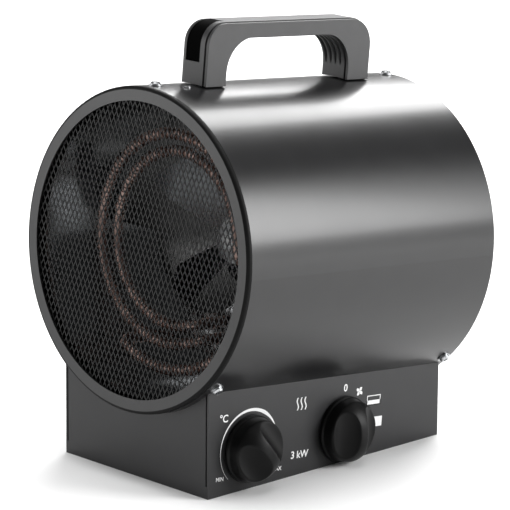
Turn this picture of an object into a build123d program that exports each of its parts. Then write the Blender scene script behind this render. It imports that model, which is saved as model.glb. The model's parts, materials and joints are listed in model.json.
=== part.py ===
"""Round electric fan heater: a tilted steel tube with its fan and finned elements, on a wedge-topped base.

Millimetres, +Z up. The origin is the middle of the base's underside. The warm air leaves towards -Y,
the controls are on +X. The tube's axis lies in the YZ plane and rises towards the outlet.
"""
from build123d import *
import os
from math import cos, radians, sin, sqrt, tan

os.makedirs("parts", exist_ok=True)

# ---------------------------------------------------------------- driving dimensions
TILT = 5.31  # degrees that the outlet end of the tube is raised
AXIS_HEIGHT = 142.8  # tube axis above the floor, over the middle of the base

SHELL_R = 107.0
SHELL_WALL = 1.0
SHELL_FRONT = 105.7  # stations along the axis, towards the outlet, from above the base's middle
SHELL_REAR = -119.7
OUTLET_FACE = 108.9

FRONT_RIM_R = 106.9  # the front ring's rim stands in front of the shell
REAR_RIM_R = 105.0  # the rear ring's rim lies inside the shell
SPIGOT_R = 105.95  # the part of both rings that the shell is screwed to
RING_OPENING_R = 97.4
RING_WALL = 1.2
RING_EDGE_R = 2.2
REAR_RIM_DEPTH = 6.6
SPIGOT_DEPTH = 16.0
GRILLE_R = 100.5
GRILLE_THICKNESS = 1.2
GRILLE_WEB = 2.4
GRILLE_OPENING_WIDTH = 10.5
GRILLE_OPENING_HEIGHT = 22.0

LINER_R = 98.6
LINER_WALL = 0.6
LINER_FRONT = 100.0
LINER_REAR = 26.0

BASE_HALF_WIDTH = 69.9
BASE_HALF_LENGTH = 107.3
BASE_SHEET = 1.2
BASE_FLOOR = 1.6
CORNER_GAP = 1.2
CORNER_EAR = 8.4  # height over which the front and rear corners are closed
SADDLE_CLEARANCE = 0.05
SADDLE_WIDTH = 24.0

HANDLE_HALF_WIDTH = 12.6
HANDLE_WALL = 2.4
HANDLE_COVER = 2.2
HANDLE_PARTING = 1.0
HANDLE_TOP = 149.1  # heights above the tube axis
HANDLE_UNDERSIDE = 137.9
HANDLE_FRONT = 68.5
HANDLE_FRONT_INNER = 49.1
HANDLE_REAR_INNER = -62.1
HANDLE_REAR = -83.4
HANDLE_FRONT_CORNER = 15.5
HANDLE_REAR_CORNER = 19.0
HANDLE_INNER_CORNER = 22.0

FRONT_SCREW_ANGLES = (-2.2, 136.5, 223.5)  # degrees round the tube from its top, towards +X
REAR_SCREW_ANGLES = (0, 135, 225)
FRONT_SCREW_STATION = 96.7
REAR_SCREW_STATION = -113.4
LINER_SCREW_STATION = 78.9
LINER_SCREW_ANGLES = (3.5, 160, 200)
SADDLE_FRONT_SCREW = 80.0
SADDLE_REAR_SCREW = -97.0
SCREW_CLEARANCE = 0.15  # between a shank and the hole that it passes through
FIT_GAP = 0.1  # between fixed pieces that lie against each other
M4_R = 2.0
M4_HEAD_R = 3.4
M4_HEAD_HEIGHT = 2.0
M4_LENGTH = 6.0
M4_WASHER_R = 4.5
WASHER_THICKNESS = 0.8
LINER_SCREW_R = 1.5
LINER_HEAD_R = 3.0
LINER_HEAD_HEIGHT = 1.2
HANDLE_SCREW_R = 2.5
WIRE_HOLE_R = 14.0
WIRE_BORE_R = 9.0

KNOB_R = 21.4
KNOB_SKIRT_R = 22.5
KNOB_DEPTH = 20.7
KNOB_RIM_DEPTH = 9.5
KNOB_SHOULDER_R = 14.0
KNOB_SHOULDER_DEPTH = 16.6
KNOB_CROWN_R = 2.0
RIB_HALF_WIDTH = 3.0
SCOOP_R = 13.0
SCOOP_FLOOR = 10.5
KNOB_GAP = 0.8
KNOB_POCKET_R = 12.0  # room under the knob for the control's nut
KNOB_POCKET_DEPTH = 4.6
SHAFT_R = 3.0
SHAFT_TIP = 14.5  # how far the shafts stand out of the panel
SHAFT_TAIL = 14.0
NECK_R = 5.0
RUNNING_GAP = 0.05
THERMOSTAT_Y = -70.9
THERMOSTAT_Z = 27.5
SELECTOR_Y = 15.0
SELECTOR_Z = 23.1
THERMOSTAT_REST_TURN = 38.0  # the grip's angle from upright, anticlockwise seen from +X
THERMOSTAT_SIZE = (36.0, 30.0, 22.0)  # width, height and depth behind the panel
SELECTOR_SIZE = (40.0, 34.0, 28.0)

ELEMENT_R = 4.0
ELEMENT_LEAD_R = 3.2
OUTER_LOOP_R = 69.3
INNER_LOOP_R = 57.6
OUTER_LOOP_STATION = 76.0
INNER_LOOP_STATION = 72.0
LOWER_LOOP_R = 84.0
LOOP_RISE = 5.5
LOWER_LOOP_RISE = 3.0
OUTER_LOOP_ARC = (-14, 312)  # start and sweep in degrees from +X
INNER_LOOP_ARC = (-6, 300)
LOWER_LOOP_ARC = (-120, 82)
TERMINAL_R = 2.0
TERMINAL_LENGTH = 12.0
BRACKET_STATION = 44.0
BRACKET_SHEET = 1.2
BRACKET_INNER_R = 46.0
CUTOUT_HEIGHT = -78.0
CUTOUT_R = 8.0

FAN_R = 84.0
FAN_HUB_R = 15.0
FAN_STATION = 12.0
FAN_HUB_DEPTH = 18.0
BLADE_COUNT = 5
BLADE_PITCH = 32.0
BLADE_SHEET = 1.2
MOTOR_STATION = -38.0
STATOR_DEPTH = 24.0
STATOR_WIDTH = 70.0
STATOR_HEIGHT = 86.0
STATOR_DROP = 11.0  # the stack's middle below the shaft
WINDOW_WIDTH = 38.0  # the opening in the stack that the coil passes through
WINDOW_HEIGHT = 10.0
WINDOW_DROP = 33.0
COIL_DROP = 44.0
COIL_WIDTH = 30.0
ROTOR_R = 17.0
AIR_GAP = 0.5
BEARING_R = 7.0
BEARING_DEPTH = 8.0
BOLT_R = 2.0
BOLT_HOLE_R = 2.1
BOLT_SPOTS = ((-29, -26), (29, 26))
BRACKET_STANDOFF = STATOR_DEPTH / 2 + 12
MOUNT_STATION = MOTOR_STATION - BRACKET_STANDOFF - 8
MOUNT_SHEET = 1.6
MOUNT_ARM_ANGLES = (30, 150, 270)

GLAND_X = -46.0
GLAND_Z = 16.0
GLAND_BORE_R = 4.1
GLAND_THREAD_R = 7.4
GLAND_HEX_R = 11.0
BASE_SCREW_X = 61.0
BASE_SCREW_Y = 82.0
PANEL_FLANGE = 14.0
TERMINAL_BLOCK_X = -30.0
TERMINAL_BLOCK_Y = 50.0
TERMINAL_BLOCK_LENGTH = 44.0
BULB_R = 3.0
BULB_LENGTH = 34.0
BULB_Y = 58.0
BULB_Z = 23.0
CAPILLARY_X = 34.0
CAPILLARY_R = 0.9

# ---------------------------------------------------------------- planes and axes
tube = Plane(
    origin=(0, 0, AXIS_HEIGHT),
    x_dir=(1, 0, 0),
    z_dir=(0, -cos(radians(TILT)), sin(radians(TILT))),
)
tube_axis = Axis(tube.origin, tube.z_dir)
# Sections through the tube: local x is the height above the axis, local y the station along it.
lengthwise = Plane(origin=tube.origin, x_dir=tube.y_dir, z_dir=(1, 0, 0))
# The control panel seen from outside: local x runs towards the rear, local y upwards.
panel_face = Plane(origin=(BASE_HALF_WIDTH, 0, 0), x_dir=(0, 1, 0), z_dir=(1, 0, 0))


def radial_plane(angle: float, station: float, radius: float) -> Plane:
    """A plane that faces outwards from the tube, `angle` degrees from its top towards +X."""
    outward = tube.x_dir * sin(radians(angle)) + tube.y_dir * cos(radians(angle))
    origin = tube.origin + tube.z_dir * station + outward * radius
    return Plane(origin=origin, x_dir=tube.z_dir, z_dir=outward)


def drill(planes: list[Plane], radius: float, depth: float) -> None:
    """Cut a round hole of `depth` to each side of each plane from the part being built."""
    for plane in planes:
        with BuildSketch(plane) as profile:
            Circle(radius)
        extrude(profile.sketch, amount=depth, both=True, mode=Mode.SUBTRACT)


def cut_with_tube(radius: float) -> None:
    """Cut the tube's cylinder from the part being built."""
    with BuildSketch(tube.offset(-2 * SHELL_R)) as profile:
        Circle(radius)
    extrude(profile.sketch, amount=4 * SHELL_R, mode=Mode.SUBTRACT)


front_screw_planes = [radial_plane(a, FRONT_SCREW_STATION, SHELL_R) for a in FRONT_SCREW_ANGLES]
rear_screw_planes = [radial_plane(a, REAR_SCREW_STATION, SHELL_R) for a in REAR_SCREW_ANGLES]
liner_screw_planes = [radial_plane(a, LINER_SCREW_STATION, SHELL_R) for a in LINER_SCREW_ANGLES]
saddle_planes = [radial_plane(180, s, SHELL_R) for s in (SADDLE_FRONT_SCREW, SADDLE_REAR_SCREW)]
handle_stations = (
    (HANDLE_FRONT + HANDLE_FRONT_INNER) / 2,
    (HANDLE_REAR + HANDLE_REAR_INNER) / 2,
)
handle_screw_planes = [radial_plane(0, s, SHELL_R) for s in handle_stations]
wire_plane = radial_plane(180, 0, SHELL_R)
control_spots = [(THERMOSTAT_Y, THERMOSTAT_Z), (SELECTOR_Y, SELECTOR_Z)]
base_screw_spots = [(x, y) for x in (-BASE_SCREW_X, BASE_SCREW_X) for y in (-BASE_SCREW_Y, BASE_SCREW_Y)]

# ---------------------------------------------------------------- shell, liner and rings
with BuildPart() as outer_shell:
    with BuildSketch(tube.offset(SHELL_REAR)):
        Circle(SHELL_R)
        Circle(SHELL_R - SHELL_WALL, mode=Mode.SUBTRACT)
    extrude(amount=SHELL_FRONT - SHELL_REAR)
    drill(front_screw_planes + rear_screw_planes + saddle_planes, M4_R + SCREW_CLEARANCE, 4)
    drill(liner_screw_planes, LINER_SCREW_R + SCREW_CLEARANCE, 4)
    drill(handle_screw_planes, HANDLE_SCREW_R + SCREW_CLEARANCE, 4)
    drill([wire_plane], WIRE_HOLE_R, 6)
outer_shell.part.label = "outer_shell"
export_step(outer_shell.part, "parts/outer_shell.step")

with BuildPart() as inner_liner:
    with BuildSketch(tube.offset(LINER_REAR)):
        Circle(LINER_R)
        Circle(LINER_R - LINER_WALL, mode=Mode.SUBTRACT)
    extrude(amount=LINER_FRONT - LINER_REAR)
    drill([radial_plane(a, LINER_SCREW_STATION, LINER_R) for a in LINER_SCREW_ANGLES], LINER_SCREW_R, 4)
inner_liner.part.label = "inner_liner"
export_step(inner_liner.part, "parts/inner_liner.step")


def ring_section(face: float, spigot_end: float, rim: float, shoulder: float) -> Sketch:
    """A pressed ring's lengthwise section: face, rounded edge, rim, step and spigot.

    Args:
        face: station of the outside of the ring's face.
        spigot_end: station where the spigot ends inside the shell.
        rim: outer radius between the face and the step.
        shoulder: station of the step from the rim to the spigot.

    Returns:
        The section, to be revolved about the tube's axis.
    """
    inwards = -1 if spigot_end < face else 1
    back = face + inwards * RING_WALL
    spigot_bore = SPIGOT_R - RING_WALL
    rim_bore = min(rim, SPIGOT_R) - RING_WALL
    outline = [
        (RING_OPENING_R, back),
        (RING_OPENING_R, face),
        (rim, face),
        (rim, shoulder),
        (SPIGOT_R, shoulder),
        (SPIGOT_R, spigot_end),
        (spigot_bore, spigot_end),
    ]
    if rim_bore < spigot_bore:
        inner_step = shoulder + inwards * RING_WALL
        outline += [(spigot_bore, inner_step), (rim_bore, inner_step)]
    outline.append((rim_bore, back))
    with BuildSketch(lengthwise) as profile:
        with BuildLine():
            Polyline(*outline, close=True)
        make_face()
        fillet(profile.vertices().sort_by_distance((rim, face))[0], radius=RING_EDGE_R)
    return profile.sketch


with BuildPart() as front_ring:
    front_step = SHELL_FRONT + SADDLE_CLEARANCE
    revolve(ring_section(OUTLET_FACE, SHELL_FRONT - SPIGOT_DEPTH, FRONT_RIM_R, front_step), axis=tube_axis)
    drill(front_screw_planes, M4_R, 4)
front_ring.part.label = "front_ring"
export_step(front_ring.part, "parts/front_ring.step")

REAR_RING_FACE = SHELL_REAR + 0.6
with BuildPart() as rear_ring:
    rear_step = REAR_RING_FACE + REAR_RIM_DEPTH
    revolve(ring_section(REAR_RING_FACE, SHELL_REAR + SPIGOT_DEPTH, REAR_RIM_R, rear_step), axis=tube_axis)
    drill(rear_screw_planes, M4_R, 4)
rear_ring.part.label = "rear_ring"
export_step(rear_ring.part, "parts/rear_ring.step")


def mesh_disc(station: float, radius: float) -> None:
    """Extrude a disc with staggered diamond openings, away from the outlet, from `station`."""
    column_pitch = GRILLE_OPENING_WIDTH + GRILLE_WEB
    row_pitch = GRILLE_OPENING_HEIGHT + GRILLE_WEB * 2
    reach = RING_OPENING_R - GRILLE_WEB
    columns = int(reach / (column_pitch / 2))
    rows = int(reach / row_pitch) + 1
    centres = []
    for column in range(-columns, columns + 1):
        for row in range(-rows, rows + 1):
            x = column * column_pitch / 2
            y = (row + 0.5 * (column % 2)) * row_pitch
            if sqrt(x**2 + (abs(y) + GRILLE_OPENING_HEIGHT / 2) ** 2) < reach:
                centres.append((x, y))
    with BuildSketch(tube.offset(station)) as profile:
        Circle(radius)
        with Locations(*centres):
            Polygon(
                (-GRILLE_OPENING_WIDTH / 2, 0),
                (0, -GRILLE_OPENING_HEIGHT / 2),
                (GRILLE_OPENING_WIDTH / 2, 0),
                (0, GRILLE_OPENING_HEIGHT / 2),
                mode=Mode.SUBTRACT,
            )
    extrude(profile.sketch, amount=-GRILLE_THICKNESS)


with BuildPart() as front_grille:
    mesh_disc(OUTLET_FACE - RING_WALL - SADDLE_CLEARANCE, GRILLE_R)
front_grille.part.label = "front_grille"
export_step(front_grille.part, "parts/front_grille.step")

with BuildPart() as rear_grille:
    mesh_disc(REAR_RING_FACE + RING_WALL + SADDLE_CLEARANCE + GRILLE_THICKNESS, GRILLE_R)
rear_grille.part.label = "rear_grille"
export_step(rear_grille.part, "parts/rear_grille.step")


# ---------------------------------------------------------------- fasteners on the tube
def pan_screws(planes: list[Plane], shank_r: float, head_r: float, head_height: float, shank: float) -> None:
    """Pan-head screws with a cross recess, heads standing on the given planes."""
    for plane in planes:
        with BuildSketch(plane) as profile:
            Circle(head_r)
        extrude(profile.sketch, amount=head_height * 0.45)
        with BuildSketch(plane.offset(head_height * 0.45)) as profile:
            Circle(head_r)
        extrude(profile.sketch, amount=head_height * 0.55, taper=35)
        with BuildSketch(plane.offset(head_height)) as profile:
            Rectangle(head_r * 0.95, head_r * 0.24)
            Rectangle(head_r * 0.24, head_r * 0.95)
        extrude(profile.sketch, amount=-head_height * 0.5, mode=Mode.SUBTRACT)
        with BuildSketch(plane) as profile:
            Circle(shank_r)
        extrude(profile.sketch, amount=-shank)


def washers(planes: list[Plane], bore_r: float) -> None:
    """Plain washers standing on the given planes."""
    for plane in planes:
        with BuildSketch(plane) as profile:
            Circle(M4_WASHER_R)
            Circle(bore_r, mode=Mode.SUBTRACT)
        extrude(profile.sketch, amount=WASHER_THICKNESS)


with BuildPart() as front_screws:
    raised = [p.offset(WASHER_THICKNESS) for p in front_screw_planes]
    pan_screws(raised, M4_R, M4_HEAD_R, M4_HEAD_HEIGHT, M4_LENGTH)
front_screws.part.label = "front_screws"
export_step(front_screws.part, "parts/front_screws.step")

with BuildPart() as rear_screws:
    raised = [p.offset(WASHER_THICKNESS) for p in rear_screw_planes]
    pan_screws(raised, M4_R, M4_HEAD_R, M4_HEAD_HEIGHT, M4_LENGTH)
rear_screws.part.label = "rear_screws"
export_step(rear_screws.part, "parts/rear_screws.step")

with BuildPart() as front_washers:
    washers(front_screw_planes, M4_R + SCREW_CLEARANCE)
front_washers.part.label = "front_washers"
export_step(front_washers.part, "parts/front_washers.step")

with BuildPart() as rear_washers:
    washers(rear_screw_planes, M4_R + SCREW_CLEARANCE)
rear_washers.part.label = "rear_washers"
export_step(rear_washers.part, "parts/rear_washers.step")

LINER_GAP = SHELL_R - SHELL_WALL - LINER_R
with BuildPart() as liner_screws:
    shank = SHELL_R - LINER_R + 3
    pan_screws(liner_screw_planes, LINER_SCREW_R, LINER_HEAD_R, LINER_HEAD_HEIGHT, shank)
liner_screws.part.label = "liner_screws"
export_step(liner_screws.part, "parts/liner_screws.step")

with BuildPart() as liner_spacers:
    for plane in liner_screw_planes:
        with BuildSketch(plane.offset(-SHELL_WALL - FIT_GAP)):
            Circle(4)
            Circle(LINER_SCREW_R + FIT_GAP, mode=Mode.SUBTRACT)
        extrude(amount=-(LINER_GAP - SCREW_CLEARANCE))
liner_spacers.part.label = "liner_spacers"
export_step(liner_spacers.part, "parts/liner_spacers.step")

with BuildPart() as saddle_screws:
    for plane in saddle_planes:
        with BuildSketch(plane.offset(-SHELL_WALL - SCREW_CLEARANCE)):
            Circle(M4_HEAD_R)
        extrude(amount=-M4_HEAD_HEIGHT)
        with BuildSketch(plane.offset(-SHELL_WALL - SCREW_CLEARANCE)):
            Circle(M4_R)
        extrude(amount=M4_LENGTH + 2)
saddle_screws.part.label = "saddle_screws"
export_step(saddle_screws.part, "parts/saddle_screws.step")

with BuildPart() as handle_screws:
    for plane in handle_screw_planes:
        with BuildSketch(plane.offset(-SHELL_WALL - SCREW_CLEARANCE)):
            Circle(M4_HEAD_R + 0.5)
        extrude(amount=-3)
        with BuildSketch(plane.offset(-SHELL_WALL - SCREW_CLEARANCE)):
            Circle(HANDLE_SCREW_R)
        extrude(amount=16)
handle_screws.part.label = "handle_screws"
export_step(handle_screws.part, "parts/handle_screws.step")


# ---------------------------------------------------------------- handle
def handle_outline(plane: Plane, inset: float, foot: float) -> Sketch:
    """The handle's side outline.

    Args:
        plane: the lengthwise plane that it is drawn on.
        inset: how far the outline is drawn in from the outside of the handle.
        foot: height above the tube axis where both legs end.

    Returns:
        The outline as a face.
    """
    top = HANDLE_TOP - inset
    under = HANDLE_UNDERSIDE + inset
    front = HANDLE_FRONT - inset
    front_inner = HANDLE_FRONT_INNER + inset
    rear_inner = HANDLE_REAR_INNER - inset
    rear = HANDLE_REAR + inset
    front_r = HANDLE_FRONT_CORNER - inset
    rear_r = HANDLE_REAR_CORNER - inset
    inner_r = HANDLE_INNER_CORNER + inset
    with BuildSketch(plane) as profile:
        with BuildLine():
            Line((foot, front), (top - front_r, front))
            CenterArc((top - front_r, front - front_r), front_r, 90, -90)
            Line((top, front - front_r), (top, rear + rear_r))
            CenterArc((top - rear_r, rear + rear_r), rear_r, 0, -90)
            Line((top - rear_r, rear), (foot, rear))
            Line((foot, rear), (foot, rear_inner))
            Line((foot, rear_inner), (under - inner_r, rear_inner))
            CenterArc((under - inner_r, rear_inner + inner_r), inner_r, -90, 90)
            Line((under, rear_inner + inner_r), (under, front_inner - inner_r))
            CenterArc((under - inner_r, front_inner - inner_r), inner_r, 0, 90)
            Line((under - inner_r, front_inner), (foot, front_inner))
            Line((foot, front_inner), (foot, front))
        make_face()
    return profile.sketch


FOOT_FLOOR = SHELL_R + 3.5
cover_start = HANDLE_HALF_WIDTH - HANDLE_COVER
with BuildPart() as handle_body:
    outside = handle_outline(lengthwise.offset(-HANDLE_HALF_WIDTH), 0, SHELL_R - 4)
    extrude(outside, amount=HANDLE_HALF_WIDTH + cover_start)
    inside = handle_outline(lengthwise.offset(HANDLE_WALL - HANDLE_HALF_WIDTH), HANDLE_WALL, FOOT_FLOOR)
    extrude(inside, amount=2 * HANDLE_HALF_WIDTH, mode=Mode.SUBTRACT)
    for boss_plane in handle_screw_planes:
        with BuildSketch(boss_plane.offset(2)):
            Circle(5.2)
        extrude(amount=15)
    cut_with_tube(SHELL_R + SADDLE_CLEARANCE)
    drill([p.offset(6) for p in handle_screw_planes], HANDLE_SCREW_R, 9.5)
handle_body.part.label = "handle_body"
export_step(handle_body.part, "parts/handle_body.step")

with BuildPart() as handle_cover:
    extrude(handle_outline(lengthwise.offset(cover_start), HANDLE_PARTING, SHELL_R - 4), amount=HANDLE_COVER)
    cut_with_tube(SHELL_R + SADDLE_CLEARANCE)
handle_cover.part.label = "handle_cover"
export_step(handle_cover.part, "parts/handle_cover.step")

# ---------------------------------------------------------------- base
contact_drop = sqrt(SHELL_R**2 - BASE_HALF_WIDTH**2)  # below the axis, where the tube meets the panels
panel_inside = BASE_HALF_WIDTH - BASE_SHEET
wall_half_width = panel_inside - CORNER_GAP
base_top = AXIS_HEIGHT - contact_drop


def tube_underside(y: float) -> float:
    """Height of the line where the tube meets the side panels, at a given y."""
    return AXIS_HEIGHT - y * tan(radians(TILT)) - contact_drop / cos(radians(TILT))


# Stations where the base's end walls pass under the tube.
FRONT_WALL_STATION = (BASE_HALF_LENGTH - BASE_SHEET / 2 - SHELL_R * sin(radians(TILT))) / cos(radians(TILT))
REAR_WALL_STATION = -(BASE_HALF_LENGTH - BASE_SHEET / 2 + SHELL_R * sin(radians(TILT))) / cos(radians(TILT))
with BuildPart() as base_tray:
    with BuildSketch(Plane.XY):
        Rectangle(2 * panel_inside - FIT_GAP, 2 * BASE_HALF_LENGTH)
    extrude(amount=BASE_FLOOR)
    for end in (-1, 1):
        wall_plane = Plane.XZ.offset(-end * (BASE_HALF_LENGTH - BASE_SHEET / 2))
        with BuildSketch(wall_plane):
            with Locations((0, CORNER_EAR / 2)):
                Rectangle(2 * panel_inside - FIT_GAP, CORNER_EAR)
            with Locations((0, base_top / 2 + 4)):
                Rectangle(2 * wall_half_width, base_top + 8)
        extrude(amount=BASE_SHEET / 2, both=True)
    cut_with_tube(SHELL_R + SADDLE_CLEARANCE)
    saddles = ((FRONT_WALL_STATION, SADDLE_FRONT_SCREW, 1), (REAR_WALL_STATION, SADDLE_REAR_SCREW, -1))
    for wall_station, screw_station, side in saddles:
        tab_length = abs(wall_station - screw_station) + 6
        with BuildSketch(radial_plane(180, wall_station - side * tab_length / 2, SHELL_R + FIT_GAP)):
            Rectangle(tab_length, SADDLE_WIDTH)
        extrude(amount=BASE_SHEET)
    drill(saddle_planes, M4_R, 6)
    with BuildSketch(Plane.XY):
        with Locations(*base_screw_spots):
            Circle(M4_R + FIT_GAP)
    extrude(amount=BASE_FLOOR, mode=Mode.SUBTRACT)
    with BuildSketch(Plane.XY):
        with Locations(*base_screw_spots):
            Circle(M4_R + BASE_FLOOR)
    extrude(amount=BASE_FLOOR, taper=45, mode=Mode.SUBTRACT)
    with BuildSketch(Plane.XZ.offset(-BASE_HALF_LENGTH)):
        with Locations((GLAND_X, GLAND_Z)):
            Circle(GLAND_THREAD_R + 0.2)
    extrude(amount=2 * BASE_SHEET, both=True, mode=Mode.SUBTRACT)
base_tray.part.label = "base_tray"
export_step(base_tray.part, "parts/base_tray.step")


def side_panel(side: int) -> None:
    """A side panel of the base with its screwed flange along the floor; side is +1 or -1."""
    with BuildSketch(Plane.YZ.offset(side * (BASE_HALF_WIDTH - BASE_SHEET / 2))) as profile:
        Polygon(
            (-BASE_HALF_LENGTH, 0),
            (BASE_HALF_LENGTH, 0),
            (BASE_HALF_LENGTH, tube_underside(BASE_HALF_LENGTH)),
            (-BASE_HALF_LENGTH, tube_underside(-BASE_HALF_LENGTH)),
            align=None,
        )
    extrude(profile.sketch, amount=BASE_SHEET / 2, both=True)
    with BuildSketch(Plane.XY.offset(BASE_FLOOR + 0.05)) as profile:
        with Locations((side * (panel_inside - PANEL_FLANGE / 2), 0)):
            Rectangle(PANEL_FLANGE, 2 * BASE_HALF_LENGTH - 20)
    extrude(profile.sketch, amount=BASE_SHEET)
    with BuildSketch(Plane.XY.offset(BASE_FLOOR)) as profile:
        with Locations((side * BASE_SCREW_X, -BASE_SCREW_Y), (side * BASE_SCREW_X, BASE_SCREW_Y)):
            Circle(M4_R)
    extrude(profile.sketch, amount=2 * BASE_SHEET, mode=Mode.SUBTRACT)
    cut_with_tube(SHELL_R + SADDLE_CLEARANCE)


with BuildPart() as control_panel:
    side_panel(1)
    with BuildSketch(panel_face):
        with Locations(*control_spots):
            Circle(NECK_R + 0.2)
    extrude(amount=2 * BASE_SHEET, both=True, mode=Mode.SUBTRACT)
control_panel.part.label = "control_panel"
export_step(control_panel.part, "parts/control_panel.step")

with BuildPart() as left_side_panel:
    side_panel(-1)
left_side_panel.part.label = "left_side_panel"
export_step(left_side_panel.part, "parts/left_side_panel.step")

with BuildPart() as base_screws:
    for spot in base_screw_spots:
        with BuildSketch(Plane.XY.offset(SCREW_CLEARANCE)):
            with Locations(spot):
                Circle(M4_R + BASE_FLOOR - 0.2)
        extrude(amount=BASE_FLOOR - 0.2, taper=45)
        with BuildSketch(Plane.XY.offset(1)):
            with Locations(spot):
                Circle(M4_R)
        extrude(amount=M4_LENGTH + 1)
base_screws.part.label = "base_screws"
export_step(base_screws.part, "parts/base_screws.step")


# ---------------------------------------------------------------- controls
def knob(y: float, z: float, turn: float) -> None:
    """A domed knob with one grip rib: `turn` is the rib's angle from upright, anticlockwise from outside."""
    back = Plane(
        origin=(BASE_HALF_WIDTH + KNOB_GAP, y, z),
        x_dir=(0, cos(radians(turn)), sin(radians(turn))),
        z_dir=(1, 0, 0),
    )
    half_section = Plane(origin=back.origin, x_dir=back.x_dir, z_dir=-back.y_dir)
    rim_r = KNOB_R - 0.8
    with BuildSketch(half_section) as profile:
        with BuildLine():
            Polyline((KNOB_CROWN_R, KNOB_DEPTH), (0, KNOB_DEPTH), (0, 0), (KNOB_SKIRT_R, 0))
            Polyline((KNOB_SKIRT_R, 0), (KNOB_SKIRT_R, 2.2), (KNOB_R, 3), (rim_r, KNOB_RIM_DEPTH))
            ThreePointArc(
                (rim_r, KNOB_RIM_DEPTH), (KNOB_SHOULDER_R, KNOB_SHOULDER_DEPTH), (KNOB_CROWN_R, KNOB_DEPTH)
            )
        make_face()
    revolve(profile.sketch, axis=Axis(back.origin, back.z_dir))
    scoop = Plane(origin=back.origin, x_dir=back.x_dir, z_dir=back.y_dir)
    scoop_x = RIB_HALF_WIDTH + SCOOP_R
    with BuildSketch(scoop) as profile:
        with Locations((-scoop_x, -(SCOOP_FLOOR + SCOOP_R)), (scoop_x, -(SCOOP_FLOOR + SCOOP_R))):
            Circle(SCOOP_R)
    extrude(profile.sketch, amount=2 * KNOB_SKIRT_R, both=True, mode=Mode.SUBTRACT)
    with BuildSketch(back) as profile:
        Circle(KNOB_POCKET_R)
    extrude(profile.sketch, amount=KNOB_POCKET_DEPTH, mode=Mode.SUBTRACT)
    with BuildSketch(back) as profile:
        Circle(SHAFT_R)
    extrude(profile.sketch, amount=SHAFT_TIP + 0.5, mode=Mode.SUBTRACT)


with BuildPart() as thermostat_knob:
    knob(THERMOSTAT_Y, THERMOSTAT_Z, THERMOSTAT_REST_TURN)
thermostat_knob.part.label = "thermostat_knob"
export_step(thermostat_knob.part, "parts/thermostat_knob.step")

with BuildPart() as selector_knob:
    knob(SELECTOR_Y, SELECTOR_Z, 0)
selector_knob.part.label = "selector_knob"
export_step(selector_knob.part, "parts/selector_knob.step")

for spot, name in ((control_spots[0], "thermostat_shaft"), (control_spots[1], "selector_shaft")):
    with BuildPart() as shaft:
        with BuildSketch(panel_face.offset(SHAFT_TIP)):
            with Locations(spot):
                Circle(SHAFT_R)
        extrude(amount=-(SHAFT_TIP + SHAFT_TAIL))
    shaft.part.label = name
    export_step(shaft.part, f"parts/{name}.step")


def control_body(spot: tuple, width: float, height: float, depth: float) -> None:
    """A switch or thermostat behind the panel, with a neck through it and a bore for its shaft."""
    with BuildSketch(panel_face.offset(-BASE_SHEET - FIT_GAP)) as profile:
        with Locations(spot):
            Rectangle(width, height)
    extrude(profile.sketch, amount=-depth)
    with BuildSketch(panel_face.offset(-BASE_SHEET - 1)) as profile:
        with Locations(spot):
            Circle(NECK_R)
    extrude(profile.sketch, amount=BASE_SHEET + 1 + 4.4)
    with BuildSketch(panel_face.offset(6)) as profile:
        with Locations(spot):
            Circle(SHAFT_R + RUNNING_GAP)
    extrude(profile.sketch, amount=-(6 + SHAFT_TAIL + 1), mode=Mode.SUBTRACT)


with BuildPart() as thermostat_body:
    control_body(control_spots[0], *THERMOSTAT_SIZE)
thermostat_body.part.label = "thermostat_body"
export_step(thermostat_body.part, "parts/thermostat_body.step")

with BuildPart() as selector_body:
    control_body(control_spots[1], *SELECTOR_SIZE)
selector_body.part.label = "selector_body"
export_step(selector_body.part, "parts/selector_body.step")

with BuildPart() as control_nuts:
    for spot in control_spots:
        with BuildSketch(panel_face.offset(0.05)):
            with Locations(spot):
                RegularPolygon(8, 6)
                Circle(NECK_R + 0.02, mode=Mode.SUBTRACT)
        extrude(amount=2.6)
control_nuts.part.label = "control_nuts"
export_step(control_nuts.part, "parts/control_nuts.step")


# ---------------------------------------------------------------- heating elements
def loop_plane(station: float, rise: float) -> Plane:
    """The plane of a loop at a station, its origin `rise` above the tube's axis."""
    loop = tube.offset(station)
    return Plane(origin=loop.origin + loop.y_dir * rise, x_dir=loop.x_dir, z_dir=loop.z_dir)


def element_loop(station: float, loop_r: float, rise: float, start: float, sweep_deg: float) -> None:
    """A finned element bent into an open loop, with both ends turned back towards the fan."""
    ring = loop_plane(station, rise)
    for angle in (start, start + sweep_deg):
        with BuildSketch(ring) as profile:
            with Locations((loop_r * cos(radians(angle)), loop_r * sin(radians(angle)))):
                Circle(ELEMENT_LEAD_R)
        extrude(profile.sketch, amount=-(station - BRACKET_STATION - 2))
    radial = ring.x_dir * cos(radians(start)) + ring.y_dir * sin(radians(start))
    section = Plane(origin=ring.origin + radial * loop_r, x_dir=radial, z_dir=ring.z_dir.cross(radial))
    with BuildSketch(section) as profile:
        Circle(ELEMENT_R)
    revolve(profile.sketch, axis=Axis(ring.origin, ring.z_dir), revolution_arc=sweep_deg)


with BuildPart() as heating_element_outer:
    element_loop(OUTER_LOOP_STATION, OUTER_LOOP_R, LOOP_RISE, *OUTER_LOOP_ARC)
heating_element_outer.part.label = "heating_element_outer"
export_step(heating_element_outer.part, "parts/heating_element_outer.step")

with BuildPart() as heating_element_inner:
    element_loop(INNER_LOOP_STATION, INNER_LOOP_R, LOOP_RISE, *INNER_LOOP_ARC)
heating_element_inner.part.label = "heating_element_inner"
export_step(heating_element_inner.part, "parts/heating_element_inner.step")

with BuildPart() as heating_element_lower:
    element_loop(OUTER_LOOP_STATION, LOWER_LOOP_R, LOWER_LOOP_RISE, *LOWER_LOOP_ARC)
heating_element_lower.part.label = "heating_element_lower"
export_step(heating_element_lower.part, "parts/heating_element_lower.step")

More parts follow.
